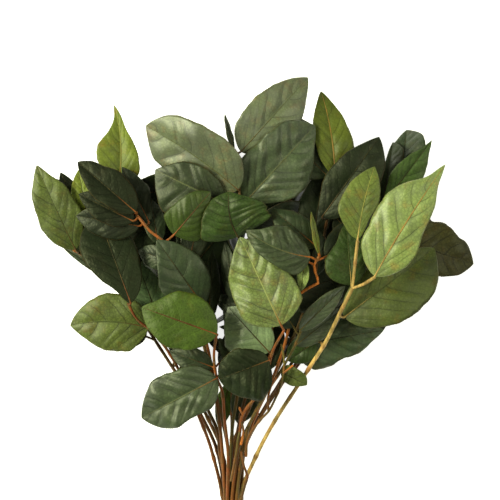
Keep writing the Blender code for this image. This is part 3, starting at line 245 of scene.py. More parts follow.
# Leaves that show, from the uppermost down
SHOWN = (
    Leaf("sprig_golden", (374, 276), (444, 165), (22, 31, 32, 25, 5), (17, 25, 19, 15, 4), lift=6, roll=-2,
         fold=-5, arch=6, bow=2, shade=1.1,
         tone=Tone.LIGHT, rib=Rib.ORANGE, veins=0.5, sheen=1.5, ripple=1.6),
    Leaf("sprig_golden", (357, 239), (374, 167), (12, 23, 23, 18, 8), (5, 9, 14, 13, 6), lift=4, roll=-14,
         fold=2, bow=2, shade=1.05,
         tone=Tone.OLIVE, rib=Rib.YELLOW, veins=0.6, sheen=0.5),
    Leaf("sprig_front_right", (310, 257), (246, 230), (17, 18, 16, 12, 6), (13, 21, 24, 19, 6),
         lift=2, roll=8, fold=0, arch=7, bow=5, shade=1.2, rib=Rib.GREY,
         tone=Tone.DEEP, veins=0.5, sheen=0.6, bulge=1.7),
    Leaf("sprig_front_middle", (281, 325), (240, 237), (24, 32, 32, 26, 11), (25, 31, 29, 21, 9), lift=2,
         fold=-3, arch=3, roll=-6, shade=0.77,
         tone=Tone.LIGHT, rib=Rib.PALE, veins=0.35, sheen=1.0, bulge=2.0),
    Leaf("sprig_front_left", (217, 334), (142, 307), (15, 25, 29, 24, 13), (18, 28, 30, 24, 8),
         lift=-2, fold=0, shade=0.66,
         tone=Tone.FRESH, rib=Rib.RED, veins=1.6, sheen=0.2, bulge=0.5),
    Leaf("sprig_front_left", (217, 378), (141.5, 418), (18, 24, 24, 24, 13), (18, 25, 28, 26, 12), lift=-16,
         fold=4, arch=7, shade=1.4, rib=Rib.GREY,
         tone=Tone.DEEP, veins=0.5, sheen=0.95, bulge=1.8),
    Leaf("sprig_front_middle", (269, 360), (219, 379), (20, 27, 27, 21, 13), (12, 19, 22, 20, 12), lift=-4,
         roll=-6, fold=-2, arch=6, point=0.6, shade=0.6, wider=(1.24, 1.0),
         tone=Tone.DARK, sheen=0.05, bulge=1.2),
    Leaf("sprig_crown", (238, 237), (229, 192), (28, 32, 29, 22, 13), (32, 38, 38, 36, 22), rise=14, lift=6,
         roll=-4, fold=0, arch=6, bow=4, shade=0.82,
         tone=Tone.MID, rib=Rib.DARK, veins=0.4, sheen=0.35),
    Leaf("sprig_left_high", (174, 235), (211, 192), (17, 20, 19, 16, 9), (19, 21, 14, 9, 5), lift=8, roll=-10,
         fold=-8, rise=12, shade=0.5,
         tone=Tone.FRESH, rib=Rib.RED, veins=0.6, sheen=0.6),
    Leaf("sprig_crown", (223, 203), (155.5, 170), (20, 31, 35, 33, 16), (14, 22, 23, 20, 8), lift=-2, roll=-6,
         fold=2, arch=6, shade=0.8, rib=Rib.GREY,
         tone=Tone.DEEP, veins=0.5, sheen=0.6, bulge=1.5),
    # The next three leaves have their tone raised by shade, the first and last on a greyish dusky green, to
    # stand partly for the broad sheen they show: painted sheen over their own dark colour.
    Leaf("sprig_crown", (238, 190), (146, 126), (15, 24, 27, 27, 16), (21, 30, 30, 26, 15), lift=-8, roll=2,
         fold=2, arch=7, bow=-3, shade=2.1, rib=Rib.GREY,
         tone=Tone.DUSKY, sheen=1.9, bulge=1.1),
    Leaf("sprig_crown", (243.5, 204), (315, 126), (22, 32, 31, 28, 18), (14, 29, 36, 27, 10),
         rise=-6, lift=-2, roll=2, fold=6, arch=11, shade=1.7, rib=Rib.GREY,
         tone=Tone.DEEP, veins=0.5, sheen=1.5, bulge=1.8, ripple=1.3),
    Leaf("sprig_crown", (241, 152), (308, 77.5), (18, 25, 25, 20, 9), (15, 23, 25, 21, 9), lift=-8, roll=-4,
         fold=2, arch=6, shade=2.5, rib=Rib.GREY,
         tone=Tone.DUSKY, sheen=2.0, bulge=1.3),
    Leaf("sprig_crown", (234, 151), (225, 114.5), 3, 3, lift=-2, roll=68, fold=-4, arch=2),
    Leaf("sprig_left_high", (136, 212), (78, 162), (9, 14, 16, 13, 6), (12, 18, 20, 14, 8), rise=11, lift=-6,
         roll=8, fold=6, shade=0.6, sheen=0.1, bulge=0.5, under=("sprig_left_high",), tone=Tone.BLACK_GREEN),
    Leaf("sprig_left_high", (133, 221), (79, 194), 15, 16, rise=2, lift=-2, fold=4, arch=3,
         under=("sprig_left_high",), tone=Tone.BLACK_GREEN, shade=0.6, sheen=0.15, bulge=0.5),
    Leaf("sprig_left_high", (139, 226), (76, 216), 18, 17, rise=-4, lift=-3, fold=4, arch=4, roll=-8,
         under=("sprig_left_high",), tone=Tone.DARK, shade=0.45, sheen=0.5, bulge=0.6),
    Leaf("sprig_left_high", (149, 222), (122, 167), 8, (7, 12, 15, 11, 5), rise=-5.5, lift=-4, roll=8, fold=4,
         under=("sprig_left_high",), tone=Tone.BLACK_GREEN),
    Leaf("sprig_left_low", (131, 303), (97, 212), (7, 19, 28, 28, 15), (14, 22, 25, 21, 10), rise=4, lift=-18,
         fold=0, arch=6, shade=0.52, bulge=0.4, tone=Tone.DARK, sheen=0.1),
    Leaf("sprig_left_low", (149, 328), (70, 325.5), (21, 29, 29, 24, 11), (16, 26, 28, 23, 10),
         rise=-6, lift=-8, fold=0, bow=-5, roll=-6, shade=0.8, under=("sprig_left_low",),
         tone=Tone.OLIVE, rib=Rib.GREEN, veins=0.45, sheen=0.6),
    Leaf("sprig_far_left", (75, 249), (36.5, 165), (13, 21, 20, 17, 7), (13, 22, 21, 17, 6), lift=4, roll=-6,
         fold=2, arch=5, bow=1, shade=0.75,
         tone=Tone.OLIVE, rib=Rib.GREEN, veins=0.45, sheen=0.6),
    Leaf("sprig_left_high", (118, 184), (113.5, 104.5), (14, 24, 23, 10, 2), (16, 18, 13, 6, 3), rise=-2,
         lift=-6, fold=12, arch=3, bow=-5, shade=0.85,
         tone=Tone.LIME, rib=Rib.YELLOW, veins=0.7, sheen=0.4),
    Leaf("sprig_golden", (351, 285), (346, 222), (18, 25, 21, 11, 5), 18, rise=-5, lift=-8, fold=0,
         under=("sprig_golden",), shade=0.46,
         tone=Tone.MID, rib=Rib.GREEN, veins=1.8, sheen=0.2),
    Leaf("sprig_golden", (344, 317), (434, 248), 25, (22, 36, 40, 37, 20), rise=-5, lift=-10, roll=-4, arch=8,
         under=("sprig_golden",),
         tone=Tone.OLIVE, rib=Rib.GREEN, shade=0.56, veins=0.6, sheen=0.6),
    Leaf("sprig_front_right", (319, 254), (311, 212), 3, 3, roll=66, fold=-4, arch=2, tone=Tone.LIME),
    Leaf("sprig_front_right", (316, 275), (320, 231), 6, 10, rise=-5, lift=-2, roll=20,
         under=("sprig_front_right",)),
    Leaf("sprig_front_right", (304, 262), (301, 291), 6, 6, rise=-6, lift=-3, roll=20, tone=Tone.LIGHT),
    Leaf("sprig_front_right", (316, 246), (272, 209), 16, (9, 15, 15, 12, 5), rise=-6, lift=-6,
         fold=2, arch=5, sheen=0.4),
    Leaf("sprig_left_high", (203, 305), (157, 240), (14, 24, 25, 17, 7), (14, 24, 25, 21, 10),
         rise=5, lift=-2, fold=2, arch=6, shade=1.3, sheen=0.9),
    Leaf("sprig_right_high", (322, 217), (379, 137), (11, 20, 21, 17, 7), (15, 24, 27, 25, 13),
         rise=7, lift=2, roll=-6, fold=2, arch=6, shade=0.45, sheen=0.3, bulge=0.4),
    Leaf("sprig_right_high", (335, 175), (321, 91), (10, 16, 17, 14, 6), (14, 21, 18, 13, 5), rise=4, lift=4,
         roll=8, fold=6, arch=5, bow=-3,
         tone=Tone.LIME, rib=Rib.ORANGE, shade=0.52, veins=0.7, sheen=0.3),
    Leaf("sprig_right_upper", (386, 201), (431.5, 140.5), (6, 12, 12, 8, 2), (8, 15, 16, 12, 4),
         rise=8, lift=4, roll=16, fold=8, shade=1.2, tone=Tone.MID),
    Leaf("sprig_right_upper", (383, 203), (393, 142), (3, 5, 5, 4, 2), (6, 10, 12, 12, 8),
         rise=-4, lift=-14, roll=-26, fold=16),
    Leaf("sprig_right_upper", (400, 187), (407, 129.5), 15, (12, 20, 22, 19, 11), rise=-3, lift=-8, fold=10,
         tone=Tone.BLACK_GREEN, shade=2.6),
    # This leaf's tone is raised six times. This lights it up out of the shade that the leaves above cast on
    # it and stands for its sheen: painted light and painted sheen.
    Leaf("sprig_middle", (269, 352), (228, 307), (16, 26, 29, 23, 11), 20, lift=-2, fold=0, arch=5, roll=-6,
         tone=Tone.DEEP, shade=6.0, sheen=2.2),
    # The next two leaves have their tone raised by half to stand partly for their streaks of sheen: painted
    # sheen.
    Leaf("sprig_right_low", (300, 330), (345, 286), 10, 10, rise=3, lift=-4, roll=24, fold=12,
         under=("sprig_golden",), tone=Tone.DEEP, shade=1.5, sheen=1.6),
    Leaf("sprig_right_low", (296, 345), (344, 308), 10, 12, rise=-5, lift=-8, roll=16, fold=12,
         under=("sprig_golden", "sprig_right_low"), tone=Tone.DEEP, shade=1.5, sheen=1.6),
    Leaf("sprig_golden", (315, 342), (288, 361), 13, 14, rise=-14, lift=-4, roll=-8, fold=10,
         under=("sprig_golden", "sprig_right_low", "sprig_front_right"), tone=Tone.MID),
    Leaf("sprig_right_high", (293, 346), (384, 330), 20, (22, 27, 22, 18, 7), rise=5, lift=-4, fold=0, arch=3,
         under=("sprig_golden", "sprig_right_low", "sprig_front_right"), shade=2.4, sheen=0.9),
    Leaf("sprig_right_low", (281, 372), (307, 385), (7, 10, 10, 9, 5), 8, rise=-4, lift=-4, roll=20, fold=8,
         under=("sprig_golden", "sprig_right_low"), tone=Tone.OLIVE, shade=0.8),
    Leaf("sprig_far_right", (405, 241), (474, 264), (19, 29, 28, 21, 12), (15, 23, 24, 20, 11),
         lift=-4, roll=-6, arch=6, veins=0.4, tone=Tone.BROWN),
    Leaf("sprig_far_left", (90, 232), (78, 170), 14, 14, lift=2, roll=-10, fold=6, tone=Tone.LIME),
    Leaf("sprig_far_left", (91, 236), (60, 172), 13, 13, rise=-4, lift=-4, roll=14, fold=6,
         tone=Tone.BLACK_GREEN),
    Leaf("sprig_far_left", (112, 279), (61, 246), 4.5, 9, rise=-8, lift=-4, fold=2,
         under=("sprig_left_low", "sprig_far_left")),
    # This leaf lies in shade; its tone is raised seven times to paint light onto it.
    Leaf("sprig_far_left", (158, 318), (137, 262), 20, 16, rise=6, lift=-2, fold=2, shade=7,
         under=("sprig_left_low", "sprig_far_left"), tone=Tone.DARK),
    Leaf("sprig_left_high", (158, 243), (151, 199), 11, 11, rise=-5, lift=-8, roll=16,
         under=("sprig_left_high",)),
    Leaf("sprig_left_high", (172, 261), (138, 251), 13, 11, rise=-4, lift=-8, roll=-10,
         under=("sprig_left_high",)),
    Leaf("sprig_left_high", (189, 262), (204, 196), 14, 14, rise=-4, lift=-4, roll=10,
         under=("sprig_left_high",)),
    Leaf("sprig_left_high", (209, 320), (212, 250), 7, 10, rise=-5, lift=-4, roll=26,
         under=("sprig_left_high",)),
    Leaf("sprig_crown", (235, 303), (225, 241), 9, 8, rise=-6, lift=-2, roll=-26, under=("sprig_crown",)),
    Leaf("sprig_front_left", (213, 367), (170, 351), 13, 12, rise=-6, lift=-6, fold=4,
         under=("sprig_front_left",)),
    Leaf("sprig_right_high", (313, 240), (324, 168), 19, 16, rise=-5, lift=-4, under=("sprig_right_high",)),
    Leaf("sprig_back_right", (250, 384), (238, 425), 15, 14, rise=-6, lift=-8, fold=2, arch=2,
         under=tuple(SPRIGS), tone=Tone.DEEP),
)

# Low leaves whose tips touch the table
FEET = (
    Leaf("sprig_under_left", (124, 205), (88, 190), 14, 14, rise=4, fold=8, arch=3, foot=True),
    Leaf("sprig_under_right", (355, 205), (396, 190), 14, 14, rise=4, fold=8, arch=3, foot=True),
    Leaf("sprig_under_middle", (223, 176), (207, 133), 14, 14, rise=4, fold=8, arch=3, foot=True),
)


# Small leaves between the others, placed last
LATE = (
    Leaf("sprig_crown", (240, 372), (219, 338), 8, 10, rise=-4, lift=8, roll=8, arch=2, tone=Tone.DEEP),
    Leaf("sprig_crown", (242, 318), (214, 297), 6, 13, rise=-4, lift=-12, arch=2),
    # The next two low leaves take a fresher green than their own, so that they still read green in the shade
    # where they lie: painted light over their colour.
    Leaf("sprig_under_middle", (229, 384), (219, 430), 9, 9, rise=-4, lift=-4, roll=-8, arch=2,
         under=tuple(SPRIGS), tone=Tone.FRESH),
    Leaf("sprig_under_right", (254, 412), (226, 392), 7, 7, rise=-4, lift=-8, roll=-8, arch=2,
         under=tuple(SPRIGS), tone=Tone.FRESH),
    Leaf("sprig_back_right", (289, 216), (281, 180), 9, 9, rise=-20, arch=2),
    Leaf("sprig_back_middle", (176, 246), (160, 214), 9, 9, rise=-6, arch=2),
    Leaf("sprig_back_middle", (182, 262), (144, 244), 9, 9, rise=-4, lift=-23, arch=2),
    Leaf("sprig_right_high", (300, 338), (283, 322), 7, 7, rise=-4, lift=-8, arch=2),
    Leaf("sprig_crown", (236, 345), (223, 303), 5, 10, rise=2, roll=-16, arch=2),
    Leaf("sprig_under_middle", (229, 352), (206, 338), 6, 6, rise=-4, lift=23, roll=26, arch=2),
    Leaf("sprig_back_left", (126, 286), (150, 256), 8, 8, rise=-24, lift=-8, roll=-8, arch=2),
    Leaf("sprig_back_middle", (180, 254), (182, 226), 5, 5, rise=4, arch=2),
    Leaf("sprig_back_right", (283, 224), (266, 196), 8, 8, rise=4, arch=2),
    Leaf("sprig_right_upper", (378, 214), (382, 172), 6, 6, rise=-6, lift=-8, arch=2),
    Leaf("sprig_right_high", (329, 238), (332, 208), 6, 6, rise=-20, arch=2),
    Leaf("sprig_crown", (243, 330), (219, 327), 3, 4, rise=-4, lift=-4, arch=2),
)


@dataclass(frozen=True)
class SideTwig:
    """A fine twig or stub of a sprig: grid points with heights, its diameters in millimetres and its bark."""

    sprig: str
    route: tuple
    thick: float
    thin: float
    bark: tuple[Bark, Bark]
    bud: bool = False


SIDE_TWIGS = (
    SideTwig("sprig_right_low", (
        (246, 457, 43), (247, 442, 50), (252, 431, 56), (262, 418, 64), (268.5, 411.5, 69), (276, 397, 76),
        (281, 384, 81), (284, 368, 86), (283, 352, 90), (281, 344, 92)), 2.6, 1.5, (Bark.GOLDEN, Bark.OLIVE)),
    SideTwig("sprig_right_low", (
        (268.5, 411.5, 69), (268, 398, 76), (271, 386, 80), (275, 379, 84)), 2.2, 1.7,
        (Bark.GOLDEN, Bark.ORANGE), bud=True),
    SideTwig("sprig_right_low", ((283, 373, 85), (287.5, 369.5, 87), (293, 365, 89)), 1.8, 1.5,
             (Bark.GOLDEN, Bark.ORANGE)),
    SideTwig("sprig_right_low", (
        (241, 452, 46), (244, 467, 45), (247.5, 477, 42), (245, 486, 38), (241, 501, 33), (238, 516, 28)),
        2.0, 2.4, (Bark.GOLDEN, Bark.GREY_BROWN)),
    SideTwig("sprig_left_low", ((175, 366, 63), (172, 366.5, 65), (169.5, 365, 67)), 1.8, 1.1,
             (Bark.GREY_BROWN, Bark.GREY_BROWN)),
    SideTwig("sprig_far_left", ((80, 254, 52), (77.5, 252, 54), (74.5, 251, 55)), 2.2, 1.6,
             (Bark.ORANGE, Bark.ORANGE), bud=True),
    SideTwig("sprig_front_middle", ((240, 431, 51), (238, 440, 50), (236, 455, 47), (231, 482, 42)), 2.4, 2.4,
             (Bark.OLIVE, Bark.GOLDEN)),
    SideTwig("sprig_front_middle", ((243, 414, 60), (241, 412, 62), (240, 409, 64)), 2.0, 1.6,
             (Bark.ORANGE, Bark.ORANGE), bud=True),
    SideTwig("sprig_front_middle", ((241.5, 422, 56), (243.5, 432, 55), (241, 445, 51)), 1.9, 2.2,
             (Bark.GREY_BROWN, Bark.ORANGE)),
)

# Outline of the dense middle, where hidden leaves may show between the others, in grid points
CORE = ((72, 235), (100, 180), (150, 180), (165, 140), (232, 134), (300, 135), (350, 165), (395, 165),
        (425, 195), (418, 240), (428, 280), (395, 315), (335, 350), (292, 352), (262, 385), (228, 385),
        (212, 345), (160, 335), (95, 300), (85, 268))
# Small gaps that stay open to the table
GAPS = ((218, 315), (221, 324), (214, 307), (236, 154))

# Stations along a blade where a list of half widths gives them
WIDTH_STATIONS = (0.1, 0.3, 0.5, 0.7, 0.9)
LEAST_COSINE = 0.3


def ovate(share: float, peak: float, point: float) -> float:
    """Half width of an ovate blade along its length, as a share of its greatest.

    Args:
        share: Share along the blade.
        peak: Share at which it is widest.
        point: How pointed its tip is.

    Returns:
        The share of the greatest half width.
    """
    swell = point * peak / (1 - peak)
    most = peak ** swell * (1 - peak) ** point
    return share ** swell * (1 - share) ** point / most


def smooth_swell(share: float, swells: list[float]) -> float:
    """A smooth curve through the values at the width stations, level beyond the first and the last.

    Args:
        share: Share along the blade.
        swells: The values at the width stations.

    Returns:
        The value there.
    """
    last = len(WIDTH_STATIONS) - 1
    k = min(max(sum(share >= station for station in WIDTH_STATIONS) - 1, 0), last - 1)
    start = WIDTH_STATIONS[k]
    gap = WIDTH_STATIONS[k + 1] - start
    slopes = []
    for j in (k, k + 1):
        inner = 0 < j < last
        slopes.append((swells[j + 1] - swells[j - 1]) / (2 * gap) if inner else 0.0)
    t = min(max((share - start) / gap, 0.0), 1.0)
    return (swells[k] * (2 * t ** 3 - 3 * t ** 2 + 1) + swells[k + 1] * (3 * t ** 2 - 2 * t ** 3)
            + slopes[0] * gap * (t ** 3 - 2 * t ** 2 + t) + slopes[1] * gap * (t ** 3 - t ** 2))


def half_width(half: Widths, share: float, peak: float, point: float) -> float:
    """Half width at a share of a blade's length: that of an ovate outline, or one through five widths.

    Args:
        half: The greatest half width, or five of them.
        share: Share along the blade.
        peak: Share at which it is widest.
        point: How pointed its tip is.

    Returns:
        The half width, in the unit of half.
    """
    if isinstance(half, tuple):
        half = smooth_swell(share, [width / ovate(station, peak, point)
                                    for width, station in zip(half, WIDTH_STATIONS)])
    return half * ovate(share, peak, point)


def tube_shape(route: list[Vector], radius: float, sides: int = 6) -> tuple[list[Vector], list[tuple]]:
    """Points and faces of a plain tube round a route, for testing against.

    Args:
        route: Points of its middle line.
        radius: Its radius.
        sides: Number of its sides.

    Returns:
        The points and the faces.
    """
    points = []
    for k, centre in enumerate(route):
        ahead = (route[min(k + 1, len(route) - 1)] - route[max(k - 1, 0)]).normalized()
        side = ahead.orthogonal().normalized()
        normal = side.cross(ahead)
        for j in range(sides):
            turn = 2 * math.pi * j / sides
            points.append(centre + side * (radius * math.cos(turn)) + normal * (radius * math.sin(turn)))
    faces = []
    for first in range(0, (len(route) - 1) * sides, sides):
        for j in range(sides):
            n = (j + 1) % sides
            faces.append((first + j, first + n, first + sides + n, first + sides + j))
    return points, faces


def ring_faces(count: int, sides: int = 6) -> list[tuple]:
    """Faces between a guard's rings of six points, split alike above and below.

    Args:
        count: Number of rings.
        sides: Points in a ring.

    Returns:
        The faces, as triangles.
    """
    lower_sides = (3, 4)
    faces = []
    for k in range(count - 1):
        a = k * sides
        b = a + sides
        for j in range(sides):
            n = (j + 1) % sides
            if j in lower_sides:
                faces += [(a + j, a + n, b + j), (a + n, b + n, b + j)]
            else:
                faces += [(a + j, a + n, b + n), (a + j, b + n, b + j)]
    return faces


def tip_faces(count: int, sides: int = 6) -> list[tuple]:
    """The pointed end of a guard: its last ring runs into an upper and a lower point.

    Args:
        count: Number of rings before the tip.
        sides: Points in a ring.

    Returns:
        The faces, as triangles.
    """
    a = (count - 1) * sides
    top = count * sides
    low = top + 1
    return [(a, a + 1, top), (a + 1, a + 2, top), (a + 3, a + 4, low), (a + 4, a + 5, low),
            (a + 2, a + 3, low), (a + 2, low, top), (a + 5, a, top), (a + 5, top, low)]


def nearest_in_plan(routes: list[list[Vector]], target: Vector) -> Vector:
    """The point of the routes that lies nearest to the target in plan.

    Args:
        routes: Lines of points.
        target: The point to be near to.

    Returns:
        The nearest point, with its own height.
    """
    best = None
    for route in routes:
        for start, end in zip(route, route[1:]):
            run = (end - start).xy
            share = (target.xy - start.xy).dot(run) / max(run.length_squared, 1e-12)
            point = start.lerp(end, min(max(share, 0.0), 1.0))
            gap = (point.xy - target.xy).length
            if best is None or gap < best[0]:
                best = (gap, point)
    return best[1]


def point_on(route: list[Vector], runs: list[float], reach: float) -> tuple[Vector, Vector]:
    """The point and the heading at a distance along a route.

    Args:
        route: Points of the line.
        runs: Lengths of its parts.
        reach: The distance from its start.

    Returns:
        The point, and the heading there.
    """
    for (start, end), run in zip(zip(route, route[1:]), runs):
        if reach <= run:
            break
        reach -= run
    share = min(reach / run, 1.0)
    return start.lerp(end, share), (end - start).normalized()


def inside(x: float, y: float, outline: tuple) -> bool:
    """True where a plan point lies inside an outline.

    Args:
        x: First plan coordinate.
        y: Second plan coordinate.
        outline: Corners of the outline.

    Returns:
        Whether the point lies inside.
    """
    hit = False
    for (x0, y0), (x1, y1) in zip(outline, outline[1:] + outline[:1]):
        if (y0 > y) != (y1 > y) and x < x0 + (y - y0) / (y1 - y0) * (x1 - x0):
            hit = not hit
    return hit


@dataclass(frozen=True)
class TiedStems:
    """How the stems are packed in the band and leave it."""

    diameter: float = 3.6 * MM
    end_diameter: float = 2.2 * MM
    twig_diameter: float = 2.0 * MM
    clearance: float = 0.3 * MM
    cut_length: float = 56 * MM
    cut_step: float = 2.5 * MM
    cut_kinds: int = 4
    rise_y: float = 22 * MM
    rise_height: float = 1.5 * MM
    neck_y: float = 51 * MM
    neck_height: float = 17 * MM
    neck_spread: float = 1.03
    neck_row_pitch: float = 3.75 * MM
    band_thickness: float = 1.2 * MM

    @property
    def pitch(self) -> float:
        """Distance between the middles of neighbouring stems."""
        return self.diameter + self.clearance

    @property
    def row_pitch(self) -> float:
        """Height of one row of stems over the next."""
        return self.pitch * math.sqrt(3) / 2

    @property
    def height(self) -> float:
        """Height of the middle row in the band."""
        return self.band_thickness + self.clearance + self.diameter / 2 + 2 * self.row_pitch

    def route(self, sprig: Sprig, index: int) -> list[Vector]:
        """The stem's whole route: cut end, band, rise, neck, and then the sprig's own points.

        Args:
            sprig: The sprig.
            index: Its number, which sets where it is cut.

        Returns:
            The points, from the cut end up.
        """
        x = sprig.column * self.pitch
        z = self.height + sprig.row * self.row_pitch
        cut = self.cut_length + (index % self.cut_kinds) * self.cut_step
        route = [Vector((x, -cut, z)), Vector((x, 0, z)), Vector((x, self.rise_y, z + self.rise_height))]
        neck = self.neck_height + sprig.row * self.neck_row_pitch
        route.append(Vector((x * self.neck_spread, self.neck_y, neck)))
        return route + [GRID.place(*point) for point in sprig.route]

    def routes(self, sprig: Sprig, index: int) -> list[list[Vector]]:
        """The routes of a sprig's stem and of its twigs.

        Args:
            sprig: The sprig.
            index: Its number.

        Returns:
            The stem's route first, and then one for each twig.
        """
        main = self.route(sprig, index)
        routes = [main]
        for twig in sprig.twigs:
            start = nearest_in_plan([main], GRID.place(*twig[0]))
            routes.append([start] + [GRID.place(*point) for point in twig[1:]])
        return routes


STEMS = TiedStems()


@dataclass(frozen=True)
class GuardSizes:
    """The room kept round blades, stalks and stems while they find their place."""

    rim: float = 0.7 * MM
    rib: float = 1.0 * MM
    thickness: float = 2.4 * MM
    margin: float = 0.9 * MM
    stations: tuple = (0.03, 0.12, 0.25, 0.5, 0.78, 0.93)
    sample_stations: tuple = (0.12, 0.3, 0.5, 0.7, 0.88)
    stalk_radius: float = 1.9 * MM
    stalk_from: float = 0.3
    stalk_least: float = 3.6 * MM
    stem: float = 0.9 * MM
    stem_step: float = 5 * MM
    own_stem_reach: float = 14 * MM
    table: float = 1.2 * MM
    foot: float = 0.05 * MM
    column: float = 1.0


GUARD = GuardSizes()


@dataclass(frozen=True)
class HiddenRule:
    """How the leaves that the upper ones hide stand along their stems."""

    seed: int = 7
    least: float = 60 * MM
    most: float = 88 * MM
    spacing: float = 24 * MM
    from_y: float = 118 * MM
    slimness: float = 0.29
    stalk: float = 8 * MM
    step_up: float = 1.5 * MM
    spacing_play: float = 0.2
    spread: float = math.radians(55)
    from_end: float = 5 * MM
    tilt: float = 35
    droop: float = math.radians(-22)


HIDDEN = HiddenRule()


class Blade:
    """The surface of one leaf between its base and its tip."""

    def __init__(self, leaf: Leaf, root: Vector, base: Vector, tip: Vector, roll: float) -> None:
        self.leaf = leaf
        self.root = root
        self.base = base
        chord = tip - base
        self.length = chord.length
        self.along = chord.normalized()
        self.flat_left = UP.cross(self.along).normalized()
        self.up = self.along.cross(self.flat_left)
        self.roll = math.radians(roll)
        self.fold = math.radians(leaf.fold)
        self.arch = leaf.arch * MM
        self.bow = leaf.bow * GRID.step
        self.left_scale = GRID.step
        self.right_scale = GRID.step
        if leaf.plan:
            self.left_scale /= max(math.cos(self.roll + self.fold), LEAST_COSINE)
            self.right_scale /= max(math.cos(self.fold - self.roll), LEAST_COSINE)

    def frame(self, share: float) -> tuple[Vector, Vector, Vector, Vector]:
        """Midrib point, heading, left side and upper normal at a share of the blade's length.

        Args:
            share: Share along the blade.

        Returns:
            The four vectors.
        """
        hump = 4 * share * (1 - share)
        slope = 4 * (1 - 2 * share)
        middle = self.base + self.along * self.length * share
        middle += self.flat_left * self.bow * hump + self.up * self.arch * hump
        ahead = self.along * self.length + self.flat_left * self.bow * slope + self.up * self.arch * slope
        ahead.normalize()
        side = self.flat_left * math.cos(self.roll) + self.up * math.sin(self.roll)
        side = (side - ahead * side.dot(ahead)).normalized()
        return middle, ahead, side, ahead.cross(side)

    def reaches(self, share: float) -> tuple[float, float]:
        """Distances from the midrib to the left and to the right rim at a share of the length.

        Args:
            share: Share along the blade.

        Returns:
            The two distances in metres.
        """
        leaf = self.leaf
        return (half_width(leaf.left, share, leaf.peak, leaf.point) * self.left_scale,
                half_width(leaf.right, share, leaf.peak, leaf.point) * self.right_scale)

    def ring(self, share: float, rim: float, rib: float, margin: float = 0.0) -> list[Vector]:
        """Six points round the blade at a share of its length: left, rib and right, above and below.

        Args:
            share: Share along the blade.
            rim: Thickness at its rim.
            rib: Thickness at its midrib.
            margin: Room added past its rim.

        Returns:
            The points, left to right above and then right to left below.
        """
        middle, ahead, side, normal = self.frame(share)
        left, right = self.reaches(share)
        ring = []
        for reach, way, thickness in ((left + margin, 1, rim), (0.0, 0, rib), (right + margin, -1, rim)):
            point = middle + side * (way * reach * math.cos(self.fold))
            point += normal * (reach * math.sin(self.fold))
            ring.append((point, normal * (thickness / 2)))
        return [p + n for p, n in ring] + [p - n for p, n in reversed(ring)]

    def guard(self, stations: tuple) -> "Shape":
        """A thicker and slightly wider blade, which keeps the leaf clear of its neighbours.

        Args:
            stations: Shares along the blade where its rings lie.

        Returns:
            The guard.
        """
        rings = [self.ring(share, GUARD.thickness, GUARD.thickness, GUARD.margin) for share in stations]
        points = [point for ring in rings for point in ring]
        middle, ahead, side, normal = self.frame(1.0)
        for way in (1, -1):
            points.append(middle + normal * (way * GUARD.thickness / 2) + self.along * GUARD.margin)
        return Shape(points, ring_faces(len(rings)) + tip_faces(len(rings)))

    def stalk_guard(self) -> "Shape":
        """A thicker leaf stalk, without its end at the stem."""
        start = self.root.lerp(self.base, GUARD.stalk_from)
        return Shape(*tube_shape([start, self.base], GUARD.stalk_radius))

    def samples(self) -> list[Vector]:
        """Points spread over the blade, out to its rim.

        Returns:
            The points.
        """
        points = []
        for share in GUARD.sample_stations:
            ring = self.ring(share, GUARD.rim, GUARD.rib)
            points += [ring[0], ring[1], ring[2], (ring[0] + ring[1]) / 2, (ring[1] + ring[2]) / 2]
        return points + [self.frame(1.0)[0]]


class Shape:
    """A mesh that others can be tested against."""

    def __init__(self, points: list[Vector], faces: list[tuple]) -> None:
        self.tree = BVHTree.FromPolygons(points, faces)
        cloud = np.array(points)
        self.low = cloud.min(0)
        self.high = cloud.max(0)


class Thicket:
    """The stems and leaves that already have their place."""

    def __init__(self) -> None:
        self.shapes: list[Shape] = []
        self.owners: list[str] = []
        self.kinds: list[str] = []
        self.stem_owners: list[str] = []
        self.stem_points: list[Vector] = []

    def add(self, shape: Shape, owner: str, kind: str) -> None:
        """Keep one shape.

        Args:
            shape: The shape.
            owner: The sprig that it belongs to.
            kind: Stem, stalk, shown or hidden.
        """
        self.shapes.append(shape)
        self.owners.append(owner)
        self.kinds.append(kind)

    def add_stem(self, route: list[Vector], radius: float, owner: str) -> None:
        """Keep a stem or twig, and points along it.

        Args:
            route: Points of its middle line.
            radius: Its radius with the room kept round it.
            owner: The sprig that it belongs to.
        """
        self.add(Shape(*tube_shape(route, radius)), owner, "stem")
        for start, end in zip(route, route[1:]):
            steps = max(int((end - start).length / GUARD.stem_step), 1)
            self.stem_owners += [owner] * steps
            self.stem_points += [start.lerp(end, step / steps) for step in range(steps)]

    def near(self, shape: Shape, room: tuple = (0.0, 0.0, 0.0)) -> np.ndarray:
        """Numbers of the kept shapes whose boxes meet the shape's own, or come within some room of it.

        Args:
            shape: The shape to look round.
            room: Room added to its box along x, y and z.

        Returns:
            The numbers.
        """
        lows = np.array([kept.low for kept in self.shapes])
        highs = np.array([kept.high for kept in self.shapes])
        apart = (lows > shape.high + room).any(1) | (highs < shape.low - room).any(1)
        return np.flatnonzero(~apart)

    def shown_over_or_under(self, shape: Shape) -> list[Shape]:
        """The shown leaves that lie somewhere in the column over and under the shape."""
        return [self.shapes[k] for k in self.near(shape, (0.0, 0.0, GUARD.column))
                if self.kinds[k] == "shown"]

    def stems_in_plan(self, shape: Shape) -> list[tuple[str, Vector]]:
        """Owners and points of the stems within the shape's box in plan.

        Args:
            shape: The shape to look over and under.

        Returns:
            Pairs of owner and point.
        """
        cloud = np.array(self.stem_points)[:, :2]
        within = ((cloud > shape.low[:2]) & (cloud < shape.high[:2])).all(1)
        return [(self.stem_owners[k], self.stem_points[k]) for k in np.flatnonzero(within)]


